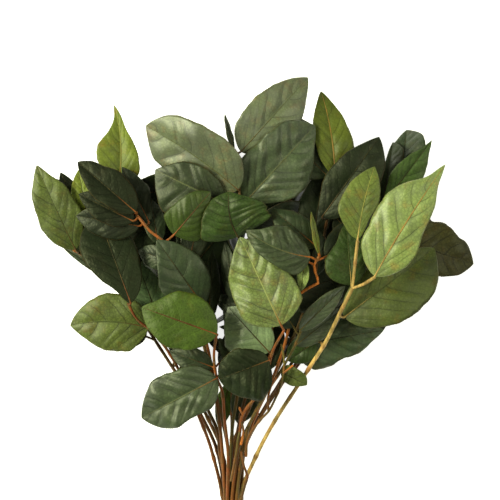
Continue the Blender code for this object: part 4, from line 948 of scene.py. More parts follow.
def listed_trials() -> list[tuple]:
    """Changes of rise, lift (mm) and roll (degrees) for a listed leaf, the smallest first.

    Returns:
        The changes, as one row of three for each trial.
    """
    trials = [(rise, lift, roll)
              for rise in (0, 2, -2, 4, 6, -4, 8)
              for lift in (0, 4, -4, 8, -8, 12, -12, 17, -17, 23, -23, 30, -30)
              for roll in (0, 8, -8, 16, -16, 26, -26)]
    trials.sort(key=lambda trial: abs(trial[0]) / 3 + abs(trial[1]) / 6 + abs(trial[2]) / 12)
    return trials


def hidden_trials() -> list[tuple]:
    """Changes of heading, pitch, roll and size for a hidden leaf, the smallest first.

    Returns:
        The changes, as one row of four for each trial.
    """
    trials = [(math.radians(turn), math.radians(pitch), roll, size)
              for turn in (0, -20, 20, -38, 40, 70)
              for pitch in (0, -9, 9, -18, 18, -30, 30, 45)
              for roll in (0, 18, -18, 38, -38, 60)
              for size in (1.0, 0.85, 0.7)]
    trials.sort(key=lambda trial: abs(trial[0]) / 0.5 + abs(trial[1]) / 0.3 + abs(trial[2]) / 25
                + (1 - trial[3]) / 0.12)
    return trials


class Arranger:
    """Finds the place of every leaf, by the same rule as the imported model."""

    def __init__(self) -> None:
        self.thicket = Thicket()
        self.listed_trials = listed_trials()
        self.hidden_trials = hidden_trials()
        self.routes: dict[str, list[list[Vector]]] = {}
        self.blades: dict[str, list[Blade]] = {name: [] for name in SPRIGS}
        self.core = tuple(tuple(GRID.place(x, y).xy) for x, y in CORE)
        self.missed: list[Leaf] = []
        for index, (name, sprig) in enumerate(SPRIGS.items()):
            self.routes[name] = STEMS.routes(sprig, index)
            for k, route in enumerate(self.routes[name]):
                radius = (STEMS.twig_diameter if k else STEMS.diameter) / 2 + GUARD.stem
                self.thicket.add_stem(route, radius, name)

    def touches(self, shape: Shape, outer: Shape | None, owner: str) -> bool:
        """True where the shape touches a kept one, or its outer part touches its own stem.

        Args:
            shape: The shape to test.
            outer: Its part away from its stalk, or None.
            owner: Its sprig.

        Returns:
            Whether it touches.
        """
        thicket = self.thicket
        for k in thicket.near(shape):
            own_stem = thicket.kinds[k] == "stem" and thicket.owners[k] == owner
            tested = outer if own_stem else shape
            if tested is not None and tested.tree.overlap(thicket.shapes[k].tree):
                return True
        return False

    def stem_over(self, guard: Shape, leaf: Leaf, root: Vector) -> bool:
        """True where a stem passes over the leaf, other than those that it may lie under.

        Args:
            guard: The leaf's guard.
            leaf: The leaf.
            root: Where its stalk leaves the stem.

        Returns:
            Whether a stem passes over it.
        """
        for owner, point in self.thicket.stems_in_plan(guard):
            own = owner == leaf.sprig and (point - root).length < GUARD.own_stem_reach
            if not own and owner not in leaf.under and guard.tree.ray_cast(point, -UP)[0] is not None:
                return True
        return False

    def stays_hidden(self, guard: Shape, samples: list[Vector], above: list[Shape]) -> bool:
        """True where upper leaves cover every sample, or it lies in the dense middle and off the gaps.

        Args:
            guard: The leaf's guard.
            samples: Points spread over the leaf.
            above: Upper leaves that may cover it.

        Returns:
            Whether it stays hidden.
        """
        for point in samples:
            covered = any(upper.tree.ray_cast(point, UP)[0] is not None for upper in above)
            if not covered and not inside(point.x, point.y, self.core):
                return False
        return all(guard.tree.ray_cast(GRID.place(x, y), UP)[0] is None for x, y in GAPS)

    def try_leaf(self, leaf: Leaf, root: Vector, base: Vector, tip: Vector, roll: float, shown: bool) -> bool:
        """Keep the leaf in this pose if it touches nothing, covers no upper leaf and hides what it should.

        Args:
            leaf: The leaf.
            root: Where its stalk leaves the stem.
            base: Where its blade starts.
            tip: Where its blade ends.
            roll: Turn round its midrib in degrees.
            shown: False where it has to stay hidden.

        Returns:
            Whether it was kept.
        """
        if (base - root).length < GUARD.stalk_least:
            return False
        blade = Blade(leaf, root, base, tip, roll)
        guard = blade.guard(GUARD.stations)
        if guard.low[2] < GUARD.table and not leaf.foot:
            return False
        stalk = blade.stalk_guard()
        outer = blade.guard(GUARD.stations[2:])
        if self.touches(guard, outer, leaf.sprig) or self.touches(stalk, None, leaf.sprig):
            return False
        samples = blade.samples()
        above = self.thicket.shown_over_or_under(guard)
        if any(upper.tree.ray_cast(point, -UP)[0] is not None for upper in above for point in samples):
            return False
        if shown and self.stem_over(guard, leaf, root):
            return False
        if not shown and not self.stays_hidden(guard, samples, above):
            return False
        self.thicket.add(guard, leaf.sprig, "shown" if shown else "hidden")
        self.thicket.add(stalk, leaf.sprig, "stalk")
        self.blades[leaf.sprig].append(blade)
        return True

    def set_listed(self, leaf: Leaf, shown: bool) -> None:
        """Place a listed leaf, by the smallest change to its own pose that is free.

        Args:
            leaf: The leaf.
            shown: False where it has to stay hidden.
        """
        flat_base = GRID.place(*leaf.base)
        flat_tip = GRID.place(*leaf.tip)
        root = nearest_in_plan(self.routes[leaf.sprig], flat_base)
        for rise, lift, roll in self.listed_trials:
            base = Vector((flat_base.x, flat_base.y, root.z + (leaf.rise + rise) * MM))
            tip = Vector((flat_tip.x, flat_tip.y, base.z + (leaf.lift + lift) * MM))
            if leaf.foot:
                tip.z = GUARD.rim / 2 + GUARD.foot
            if self.try_leaf(leaf, root, base, tip, leaf.roll + roll, shown):
                return
        self.missed.append(leaf)

    def set_hidden(self, name: str, side: int, draw: random.Random) -> None:
        """Place the hidden leaves of one sprig, on alternate sides of its stem, from its end back.

        Args:
            name: The sprig.
            side: The side of its first leaf, 1 or -1.
            draw: The source of irregularity.
        """
        route = [point for point in self.routes[name][0] if point.y > STEMS.neck_y]
        runs = [(end - start).length for start, end in zip(route, route[1:])]
        placed = 0
        reach = sum(runs) - HIDDEN.from_end
        while placed < SPRIGS[name].hidden and reach > 0:
            root, ahead = point_on(route, runs, reach)
            if root.y < HIDDEN.from_y:
                break
            reach -= HIDDEN.spacing * (1 + HIDDEN.spacing_play * (2 * draw.random() - 1))
            length = HIDDEN.least + (HIDDEN.most - HIDDEN.least) * draw.random()
            tilt = HIDDEN.tilt * (2 * draw.random() - 1)
            droop = HIDDEN.droop * draw.random()
            side = -side
            placed += self.set_one_hidden(name, root, ahead, length, side, tilt, droop)

    def set_one_hidden(self, name: str, root: Vector, ahead: Vector, length: float, side: int,
                       tilt: float, droop: float) -> int:
        """Place one hidden leaf, turned, tipped or made smaller until it is free.

        Args:
            name: The sprig.
            root: The point of the stem that it grows from.
            ahead: The stem's heading there.
            length: Its length before it is made smaller.
            side: 1 for the left of the stem and -1 for the right.
            tilt: Its own roll in degrees.
            droop: Its own pitch in radians.

        Returns:
            1 where it found a place, or 0.
        """
        heading = math.atan2(ahead.y, ahead.x)
        for turn, pitch, roll, size in self.hidden_trials:
            pitch += droop
            roll += tilt
            angle = heading + side * (HIDDEN.spread + turn)
            way = Vector((math.cos(angle), math.sin(angle), 0))
            run = length * size
            base = root + way * HIDDEN.stalk + UP * (HIDDEN.stalk * math.sin(pitch) + HIDDEN.step_up)
            tip = base + way * (run * math.cos(pitch)) + UP * (run * math.sin(pitch))
            half = run * HIDDEN.slimness / GRID.step
            leaf = Leaf(name, (0, 0), (0, 0), half, half, fold=9, arch=5, plan=False)
            if self.try_leaf(leaf, root, base, tip, roll * side, False):
                return 1
        return 0

    def arrange(self) -> None:
        """Place every leaf: those that show, from the uppermost down, and then the hidden ones."""
        for leaf in SHOWN:
            self.set_listed(leaf, True)
        for leaf in FEET:
            self.set_listed(leaf, False)
        draw = random.Random(HIDDEN.seed)
        for index, name in enumerate(SPRIGS):
            self.set_hidden(name, 1 if index % 2 else -1, draw)
        for leaf in LATE:
            self.set_listed(leaf, bool(leaf.under))


class Nodes:
    """Adds and links the nodes of one tree."""

    def __init__(self, tree: bpy.types.NodeTree) -> None:
        self.tree = tree

    def add(self, kind: str, **settings: object) -> bpy.types.Node:
        """A new node with some of its properties set.

        Args:
            kind: The node's type.
            settings: Its properties.

        Returns:
            The node.
        """
        node = self.tree.nodes.new(kind)
        for name, value in settings.items():
            setattr(node, name, value)
        return node

    def put(self, socket: bpy.types.NodeSocket, value: object) -> None:
        """Set a socket to a value, or link another socket to it.

        Args:
            socket: The input.
            value: A number, a colour, a vector or an output.
        """
        if isinstance(value, bpy.types.NodeSocket):
            self.tree.links.new(value, socket)
        elif isinstance(value, tuple) and len(value) == 3 and socket.type == "RGBA":
            socket.default_value = (*value, 1.0)
        else:
            socket.default_value = value

    def math(self, operation: str, *values: Value) -> bpy.types.NodeSocket:
        """A Math node on sockets or numbers.

        Args:
            operation: The operation.
            values: Its inputs.

        Returns:
            The result.
        """
        node = self.add("ShaderNodeMath", operation=operation)
        for socket, value in zip(node.inputs, values):
            self.put(socket, value)
        return node.outputs[0]

    def mix(self, factor: Value, first: object, second: object, blend: str = "MIX") -> bpy.types.NodeSocket:
        """A colour mixed of two.

        Args:
            factor: Share of the second colour.
            first: The first colour.
            second: The second colour.
            blend: How they are mixed.

        Returns:
            The colour.
        """
        node = self.add("ShaderNodeMix", data_type="RGBA", blend_type=blend)
        colours = [socket for socket in node.inputs if socket.type == "RGBA"]
        self.put(node.inputs[0], factor)
        self.put(colours[0], first)
        self.put(colours[1], second)
        return next(socket for socket in node.outputs if socket.type == "RGBA")

    def ramp(self, value: Value, low: float, high: float, start: float = 0.0, end: float = 1.0,
             smooth: bool = False) -> bpy.types.NodeSocket:
        """A value carried from one range to another and held at its ends.

        Args:
            value: The value.
            low: Start of its range.
            high: End of its range.
            start: What the start becomes.
            end: What the end becomes.
            smooth: True to ease in and out.

        Returns:
            The new value.
        """
        node = self.add("ShaderNodeMapRange", interpolation_type="SMOOTHSTEP" if smooth else "LINEAR")
        for name, number in (("Value", value), ("From Min", low), ("From Max", high), ("To Min", start),
                             ("To Max", end)):
            self.put(node.inputs[name], number)
        return node.outputs["Result"]

    def noise(self, vector: object, scale: float, detail: float = 3.0,
              roughness: float = 0.5) -> bpy.types.NodeSocket:
        """A noise value between 0 and 1.

        Args:
            vector: Where it is read.
            scale: Turns in a metre.
            detail: Number of finer layers.
            roughness: Strength of the finer layers.

        Returns:
            The value.
        """
        node = self.add("ShaderNodeTexNoise")
        self.put(node.inputs["Vector"], vector)
        for name, number in (("Scale", scale), ("Detail", detail), ("Roughness", roughness)):
            node.inputs[name].default_value = number
        return node.outputs[0]

    def add_noise_colour(self, vector: object, scale: float) -> bpy.types.NodeSocket:
        """A noise colour, for bending a place.

        Args:
            vector: Where it is read.
            scale: Turns in a metre.

        Returns:
            The colour.
        """
        node = self.add("ShaderNodeTexNoise")
        self.put(node.inputs["Vector"], vector)
        node.inputs["Scale"].default_value = scale
        return node.outputs["Color"]

    def use(self, group: bpy.types.NodeTree, **values: object) -> bpy.types.Node:
        """A group node with values on its named inputs, an underscore standing for a space.

        Args:
            group: The group.
            values: Its inputs.

        Returns:
            The node.
        """
        node = self.add("ShaderNodeGroup", node_tree=group)
        for name, value in values.items():
            self.put(node.inputs[name.replace("_", " ")], value)
        return node


@dataclass(frozen=True)
class Venation:
    """How the side veins of a leaf leave its midrib and arch towards its tip."""

    count: float = 5.6
    count_play: float = 0.7
    sweep: float = 0.42
    sweep_play: float = 0.07
    curve: float = 1.4
    tip_room: float = 1.3
    stagger: float = 0.45
    wander: tuple = ((0.37, 0.16), (0.81, 0.06))
    cell_size: float = 3.0 * MM

    def group(self) -> bpy.types.NodeTree:
        """A node group that turns a leaf's map and its vein course into masks of its veins.

        Returns:
            The group.
        """
        tree = bpy.data.node_groups.new("salal_veins", "ShaderNodeTree")
        for name in ("Map", "Course", "Place"):
            tree.interface.new_socket(name=name, in_out="INPUT", socket_type="NodeSocketVector")
        for name in ("Side Veins", "Halo", "Midrib", "Net", "Cells", "Rim"):
            tree.interface.new_socket(name=name, in_out="OUTPUT", socket_type="NodeSocketFloat")
        nodes = Nodes(tree)
        start = nodes.add("NodeGroupInput")
        end = nodes.add("NodeGroupOutput")
        place = start.outputs["Place"]
        wobble = nodes.noise(place, 140.0, 3.0)
        parts = nodes.add("ShaderNodeSeparateXYZ")
        nodes.put(parts.inputs[0], start.outputs["Map"])
        course = nodes.add("ShaderNodeSeparateXYZ")
        nodes.put(course.inputs[0], start.outputs["Course"])
        across = nodes.math("MULTIPLY_ADD", parts.outputs["Y"], 2.0, -1.0)
        out = nodes.math("ABSOLUTE", across)
        on_left = nodes.math("GREATER_THAN", across, 0.0)
        gap = nodes.math("SUBTRACT", course.outputs["X"], course.outputs["Y"])
        phase = nodes.math("MULTIPLY_ADD", gap, on_left, course.outputs["Y"])
        phase = nodes.math("ADD", phase, nodes.math("MULTIPLY_ADD", wobble, 0.16, -0.08))
        off = nodes.math("ABSOLUTE", nodes.math("SUBTRACT", nodes.math("FRACT", phase), 0.5))
        off = nodes.math("SUBTRACT", 0.5, off)
        fade = nodes.ramp(out, 0.97, 0.6, smooth=True)
        width = nodes.ramp(out, 0.0, 1.0, 0.055, 0.026)
        line = nodes.ramp(nodes.math("DIVIDE", off, width), 1.0, 0.25, smooth=True)
        nodes.put(end.inputs["Side Veins"], nodes.math("MULTIPLY", line, fade))
        # Halo is a wider, softer band over each side vein. Where the vein lines are darker than the blade, it
        # is painted shade in the broad groove; where they are paler, it is the veins' own colour.
        nodes.put(end.inputs["Halo"], nodes.math("MULTIPLY", nodes.ramp(off, 0.22, 0.0, smooth=True), fade))
        rib_width = nodes.ramp(parts.outputs["X"], 0.0, 1.0, 0.05, 0.022)
        middle = nodes.math("DIVIDE", out, rib_width)
        nodes.put(end.inputs["Midrib"], nodes.ramp(middle, 1.0, 0.3, smooth=True))
        bent = nodes.add("ShaderNodeVectorMath", operation="MULTIPLY_ADD")
        nodes.put(bent.inputs[0], nodes.add_noise_colour(place, 300.0))
        bent.inputs[1].default_value = (0.0016,) * 3
        nodes.put(bent.inputs[2], place)
        cells = nodes.add("ShaderNodeTexVoronoi", feature="DISTANCE_TO_EDGE")
        nodes.put(cells.inputs["Vector"], bent.outputs[0])
        cells.inputs["Scale"].default_value = 1 / self.cell_size
        nodes.put(end.inputs["Net"], nodes.ramp(cells.outputs["Distance"], 0.2, 0.02, smooth=True))
        nodes.put(end.inputs["Cells"], nodes.ramp(cells.outputs["Distance"], 0.0, 0.45, smooth=True))
        nodes.put(end.inputs["Rim"], nodes.ramp(out, 0.955, 1.0, smooth=True))
        return tree


VENATION = Venation()


class Course:
    """The side veins of one leaf."""

    def __init__(self, draw: random.Random) -> None:
        self.count = VENATION.count + draw.uniform(-1, 1) * VENATION.count_play
        self.sweep = VENATION.sweep + draw.uniform(-1, 1) * VENATION.sweep_play
        self.starts = [draw.uniform(0, 2 * math.pi) for _ in range(4)]

    def phase(self, share: np.ndarray, out: np.ndarray, side: int) -> np.ndarray:
        """Which side vein each point lies at, whole numbers being on a vein.

        Args:
            share: Shares along the leaf.
            out: Places between midrib (0) and rim (1).
            side: 0 for the left side and 1 for the right one.

        Returns:
            The phases.
        """
        swept = self.sweep * out ** VENATION.curve * (VENATION.tip_room - share)
        phase = self.count * (share - swept) + VENATION.stagger * side
        for (pace, strength), start in zip(VENATION.wander, self.starts[2 * side:]):
            phase = phase + strength * np.sin(2 * np.pi * pace * phase + start)
        return phase


def mottle_group() -> bpy.types.NodeTree:
    """A node group that varies a colour in soft patches and fine grain.

    Returns:
        The group.
    """
    tree = bpy.data.node_groups.new("mottle", "ShaderNodeTree")
    tree.interface.new_socket(name="Place", in_out="INPUT", socket_type="NodeSocketVector")
    tree.interface.new_socket(name="Colour", in_out="INPUT", socket_type="NodeSocketColor")
    for name in ("Patches", "Grain", "Rust"):
        tree.interface.new_socket(name=name, in_out="INPUT", socket_type="NodeSocketFloat")
    tree.interface.new_socket(name="Colour", in_out="OUTPUT", socket_type="NodeSocketColor")
    tree.interface.new_socket(name="Patch", in_out="OUTPUT", socket_type="NodeSocketFloat")
    nodes = Nodes(tree)
    start = nodes.add("NodeGroupInput")
    end = nodes.add("NodeGroupOutput")
    place = start.outputs["Place"]
    patch = nodes.noise(place, 45.0, 4.0, 0.6)
    grain = nodes.noise(place, 700.0, 4.0, 0.65)
    rust = nodes.ramp(nodes.noise(place, 95.0, 4.0, 0.6), 0.5, 0.72, smooth=True)
    shade = nodes.math("MULTIPLY_ADD", nodes.math("SUBTRACT", patch, 0.5), start.outputs["Patches"], 1.0)
    fine = nodes.math("MULTIPLY_ADD", nodes.math("SUBTRACT", grain, 0.5), start.outputs["Grain"], 1.0)
    scaled = nodes.add("ShaderNodeVectorMath", operation="SCALE")
    nodes.put(scaled.inputs[0], start.outputs["Colour"])
    nodes.put(scaled.inputs["Scale"], nodes.math("MULTIPLY", shade, fine))
    rusty = nodes.add("ShaderNodeVectorMath", operation="MULTIPLY")
    nodes.put(rusty.inputs[0], scaled.outputs[0])
    rusty.inputs[1].default_value = (1.45, 0.85, 0.7)
    strength = nodes.math("MULTIPLY", rust, start.outputs["Rust"])
    nodes.put(end.inputs["Colour"], nodes.mix(strength, scaled.outputs[0], rusty.outputs[0]))
    nodes.put(end.inputs["Patch"], patch)
    return tree


def new_material(name: str) -> tuple[bpy.types.Material, Nodes, bpy.types.Node]:
    """A material, its nodes and its Principled shader.

    Args:
        name: The material's name.

    Returns:
        The three.
    """
    material = bpy.data.materials.new(name)
    material.use_nodes = True
    nodes = Nodes(material.node_tree)
    return material, nodes, material.node_tree.nodes["Principled BSDF"]


@dataclass(frozen=True)
class LeafFinish:
    """The surface of a preserved leaf, above or below."""

    name: str
    tone_layer: str = "leaf_tone"
    roughness: float = 0.5
    sheen: float = 0.08
    specular: float = 0.2
    specular_tint: Colour = (0.95, 1.0, 0.6)
    wax: float = 0.62
    wax_roughness: float = 0.47
    buckle: float = 2.0
    grain: float = 0.16
    vein_raise: float = -0.4
    cell_raise: float = 0.16

    def material(self, veins: bpy.types.NodeTree, mottle: bpy.types.NodeTree) -> bpy.types.Material:
        """The material.

        Args:
            veins: The group that puts out the vein masks.
            mottle: The group that varies a colour.

        Returns:
            A material that reads the leaf's map and its tone, rib, course and trait attributes.
        """
        material, nodes, shader = new_material(self.name)
        place = nodes.add("ShaderNodeTexCoord").outputs["Object"]
        net = nodes.use(veins, Place=place)
        nodes.put(net.inputs["Map"], nodes.add("ShaderNodeUVMap", uv_map="leaf_map").outputs[0])
        course = nodes.add("ShaderNodeAttribute", attribute_name="leaf_course")
        nodes.put(net.inputs["Course"], course.outputs["Vector"])
        tone = nodes.add("ShaderNodeAttribute", attribute_name=self.tone_layer).outputs["Color"]
        rib = nodes.add("ShaderNodeAttribute", attribute_name="leaf_rib").outputs["Color"]
        traits = nodes.add("ShaderNodeAttribute", attribute_name="leaf_traits")
        parts = nodes.add("ShaderNodeSeparateColor")
        nodes.put(parts.inputs[0], traits.outputs["Color"])
        contrast, sheen, age = parts.outputs[0], parts.outputs[1], parts.outputs[2]
        mottled = nodes.use(mottle, Place=place, Colour=tone, Patches=1.5, Grain=0.6,
                            Rust=nodes.math("MULTIPLY_ADD", age, 0.6, 0.15))
        blade = mottled.outputs["Colour"]
        # Vein lines take the tone times the leaf's vein factor. A factor above one gives the veins' own paler
        # colour. A factor below one paints shade into the grooves of side veins, net and halo, over the
        # veins' own colour.
        vein_tint_and_groove_shade = nodes.add("ShaderNodeVectorMath", operation="SCALE")
        nodes.put(vein_tint_and_groove_shade.inputs[0], blade)
        nodes.put(vein_tint_and_groove_shade.inputs["Scale"], contrast)
        line = vein_tint_and_groove_shade.outputs[0]
        colour = nodes.mix(nodes.math("MULTIPLY", net.outputs["Halo"], 0.25), blade, line)
        colour = nodes.mix(nodes.math("MULTIPLY", net.outputs["Net"], 0.5), colour, line)
        colour = nodes.mix(nodes.math("MULTIPLY", net.outputs["Side Veins"], 0.95), colour, line)
        colour = nodes.mix(nodes.math("MULTIPLY", net.outputs["Midrib"], 0.85), colour, rib)
        edge = nodes.math("MULTIPLY", net.outputs["Rim"], nodes.math("MULTIPLY_ADD", age, 0.4, 0.1))
        colour = nodes.mix(edge, colour, (0.11, 0.07, 0.02))
        nodes.put(shader.inputs["Base Color"], colour)
        rough = nodes.math("MULTIPLY_ADD", mottled.outputs["Patch"], 0.24, self.roughness - 0.12)
        nodes.put(shader.inputs["Roughness"], nodes.math("MULTIPLY_ADD", sheen, -self.sheen, rough))
        worn = nodes.ramp(mottled.outputs["Patch"], 0.34, 0.66, 1.45, 0.45)
        nodes.put(shader.inputs["Coat Weight"],
                  nodes.math("MULTIPLY", nodes.math("MULTIPLY", sheen, self.wax), worn))
        shader.inputs["Coat Roughness"].default_value = self.wax_roughness
        height = nodes.math("MULTIPLY", net.outputs["Side Veins"], self.vein_raise)
        height = nodes.math("MULTIPLY_ADD", net.outputs["Cells"], self.cell_raise, height)
        height = nodes.math("MULTIPLY_ADD", nodes.noise(place, 75.0, 2.0), self.buckle, height)
        height = nodes.math("MULTIPLY_ADD", nodes.noise(place, 350.0, 4.0, 0.6), self.grain, height)
        bump = nodes.add("ShaderNodeBump")
        bump.inputs["Strength"].default_value = 0.8
        bump.inputs["Distance"].default_value = 1.0 * MM
        nodes.put(bump.inputs["Height"], height)
        nodes.put(shader.inputs["Normal"], bump.outputs[0])
        shader.inputs["Specular IOR Level"].default_value = self.specular
        shader.inputs["Specular Tint"].default_value = (*self.specular_tint, 1.0)
        return material


@dataclass(frozen=True)
class BarkFinish:
    """Thin bark with streaks along the stem, darker flecks and pale scars."""

    name: str = "salal_bark"
    roughness: float = 0.5
    specular: float = 0.35
    specular_tint: Colour = (1.0, 0.85, 0.6)

    def material(self, mottle: bpy.types.NodeTree) -> bpy.types.Material:
        """The material, which reads the bark attribute of the stems.

        Args:
            mottle: The group that varies a colour.

        Returns:
            The material.
        """
        material, nodes, shader = new_material(self.name)
        place = nodes.add("ShaderNodeTexCoord").outputs["Object"]
        stretch = nodes.add("ShaderNodeMapping")
        nodes.put(stretch.inputs["Vector"], place)
        stretch.inputs["Scale"].default_value = (1.0, 0.08, 1.0)
        streaks = nodes.noise(stretch.outputs[0], 900.0, 3.0, 0.6)
        broad = nodes.noise(stretch.outputs[0], 260.0, 2.0)
        tone = nodes.add("ShaderNodeAttribute", attribute_name="bark_tone").outputs["Color"]
        mottled = nodes.use(mottle, Place=place, Colour=tone, Patches=0.8, Grain=0.5, Rust=0.3)
        green = nodes.ramp(broad, 0.48, 0.62, 0.0, 0.5, smooth=True)
        colour = nodes.mix(green, mottled.outputs["Colour"], (0.085, 0.068, 0.020))
        colour = nodes.mix(nodes.ramp(streaks, 0.55, 0.75, 0.0, 0.6), colour, (0.030, 0.014, 0.006))
        colour = nodes.mix(nodes.ramp(streaks, 0.42, 0.25, 0.0, 0.3), colour, (0.36, 0.19, 0.06))
        nodes.put(shader.inputs["Base Color"], colour)
        nodes.put(shader.inputs["Roughness"], nodes.ramp(streaks, 0.3, 0.7, self.roughness - 0.1,
                                                         self.roughness + 0.12))
        shader.inputs["Specular IOR Level"].default_value = self.specular
        shader.inputs["Specular Tint"].default_value = (*self.specular_tint, 1.0)
        bump = nodes.add("ShaderNodeBump")
        bump.inputs["Strength"].default_value = 0.6
        bump.inputs["Distance"].default_value = 0.3 * MM
        nodes.put(bump.inputs["Height"], nodes.math("ADD", streaks, nodes.noise(place, 1500.0, 2.0)))
        nodes.put(shader.inputs["Normal"], bump.outputs[0])
        return material


@dataclass(frozen=True)
class RubberFinish:
    """The plain rubber of the band, a little chalky."""

    name: str = "band_rubber"
    colour: Colour = (0.48, 0.33, 0.17)

    def material(self, mottle: bpy.types.NodeTree) -> bpy.types.Material:
        """The material.

        Args:
            mottle: The group that varies a colour.

        Returns:
            The material.
        """
        material, nodes, shader = new_material(self.name)
        place = nodes.add("ShaderNodeTexCoord").outputs["Object"]
        mottled = nodes.use(mottle, Place=place, Colour=self.colour, Patches=0.3, Grain=0.5, Rust=0.0)
        nodes.put(shader.inputs["Base Color"], mottled.outputs["Colour"])
        nodes.put(shader.inputs["Roughness"], nodes.ramp(mottled.outputs["Patch"], 0.3, 0.7, 0.5, 0.68))
        bump = nodes.add("ShaderNodeBump")
        bump.inputs["Strength"].default_value = 0.4
        bump.inputs["Distance"].default_value = 0.2 * MM
        nodes.put(bump.inputs["Height"], nodes.noise(place, 1400.0, 3.0))
        nodes.put(shader.inputs["Normal"], bump.outputs[0])
        return material


@dataclass(frozen=True)
class WoodFinish:
    """The cut end of a stem: pale, mottled wood."""

    name: str = "salal_cut_wood"

    def material(self, mottle: bpy.types.NodeTree) -> bpy.types.Material:
        """The material.

        Args:
            mottle: The group that varies a colour.

        Returns:
            The material.
        """
        material, nodes, shader = new_material(self.name)
        place = nodes.add("ShaderNodeTexCoord").outputs["Object"]
        mottled = nodes.use(mottle, Place=place, Colour=(0.5, 0.38, 0.2), Patches=0.4, Grain=0.9, Rust=0.2)
        nodes.put(shader.inputs["Base Color"], mottled.outputs["Colour"])
        nodes.put(shader.inputs["Roughness"], nodes.ramp(mottled.outputs["Patch"], 0.3, 0.7, 0.7, 0.85))
        return material


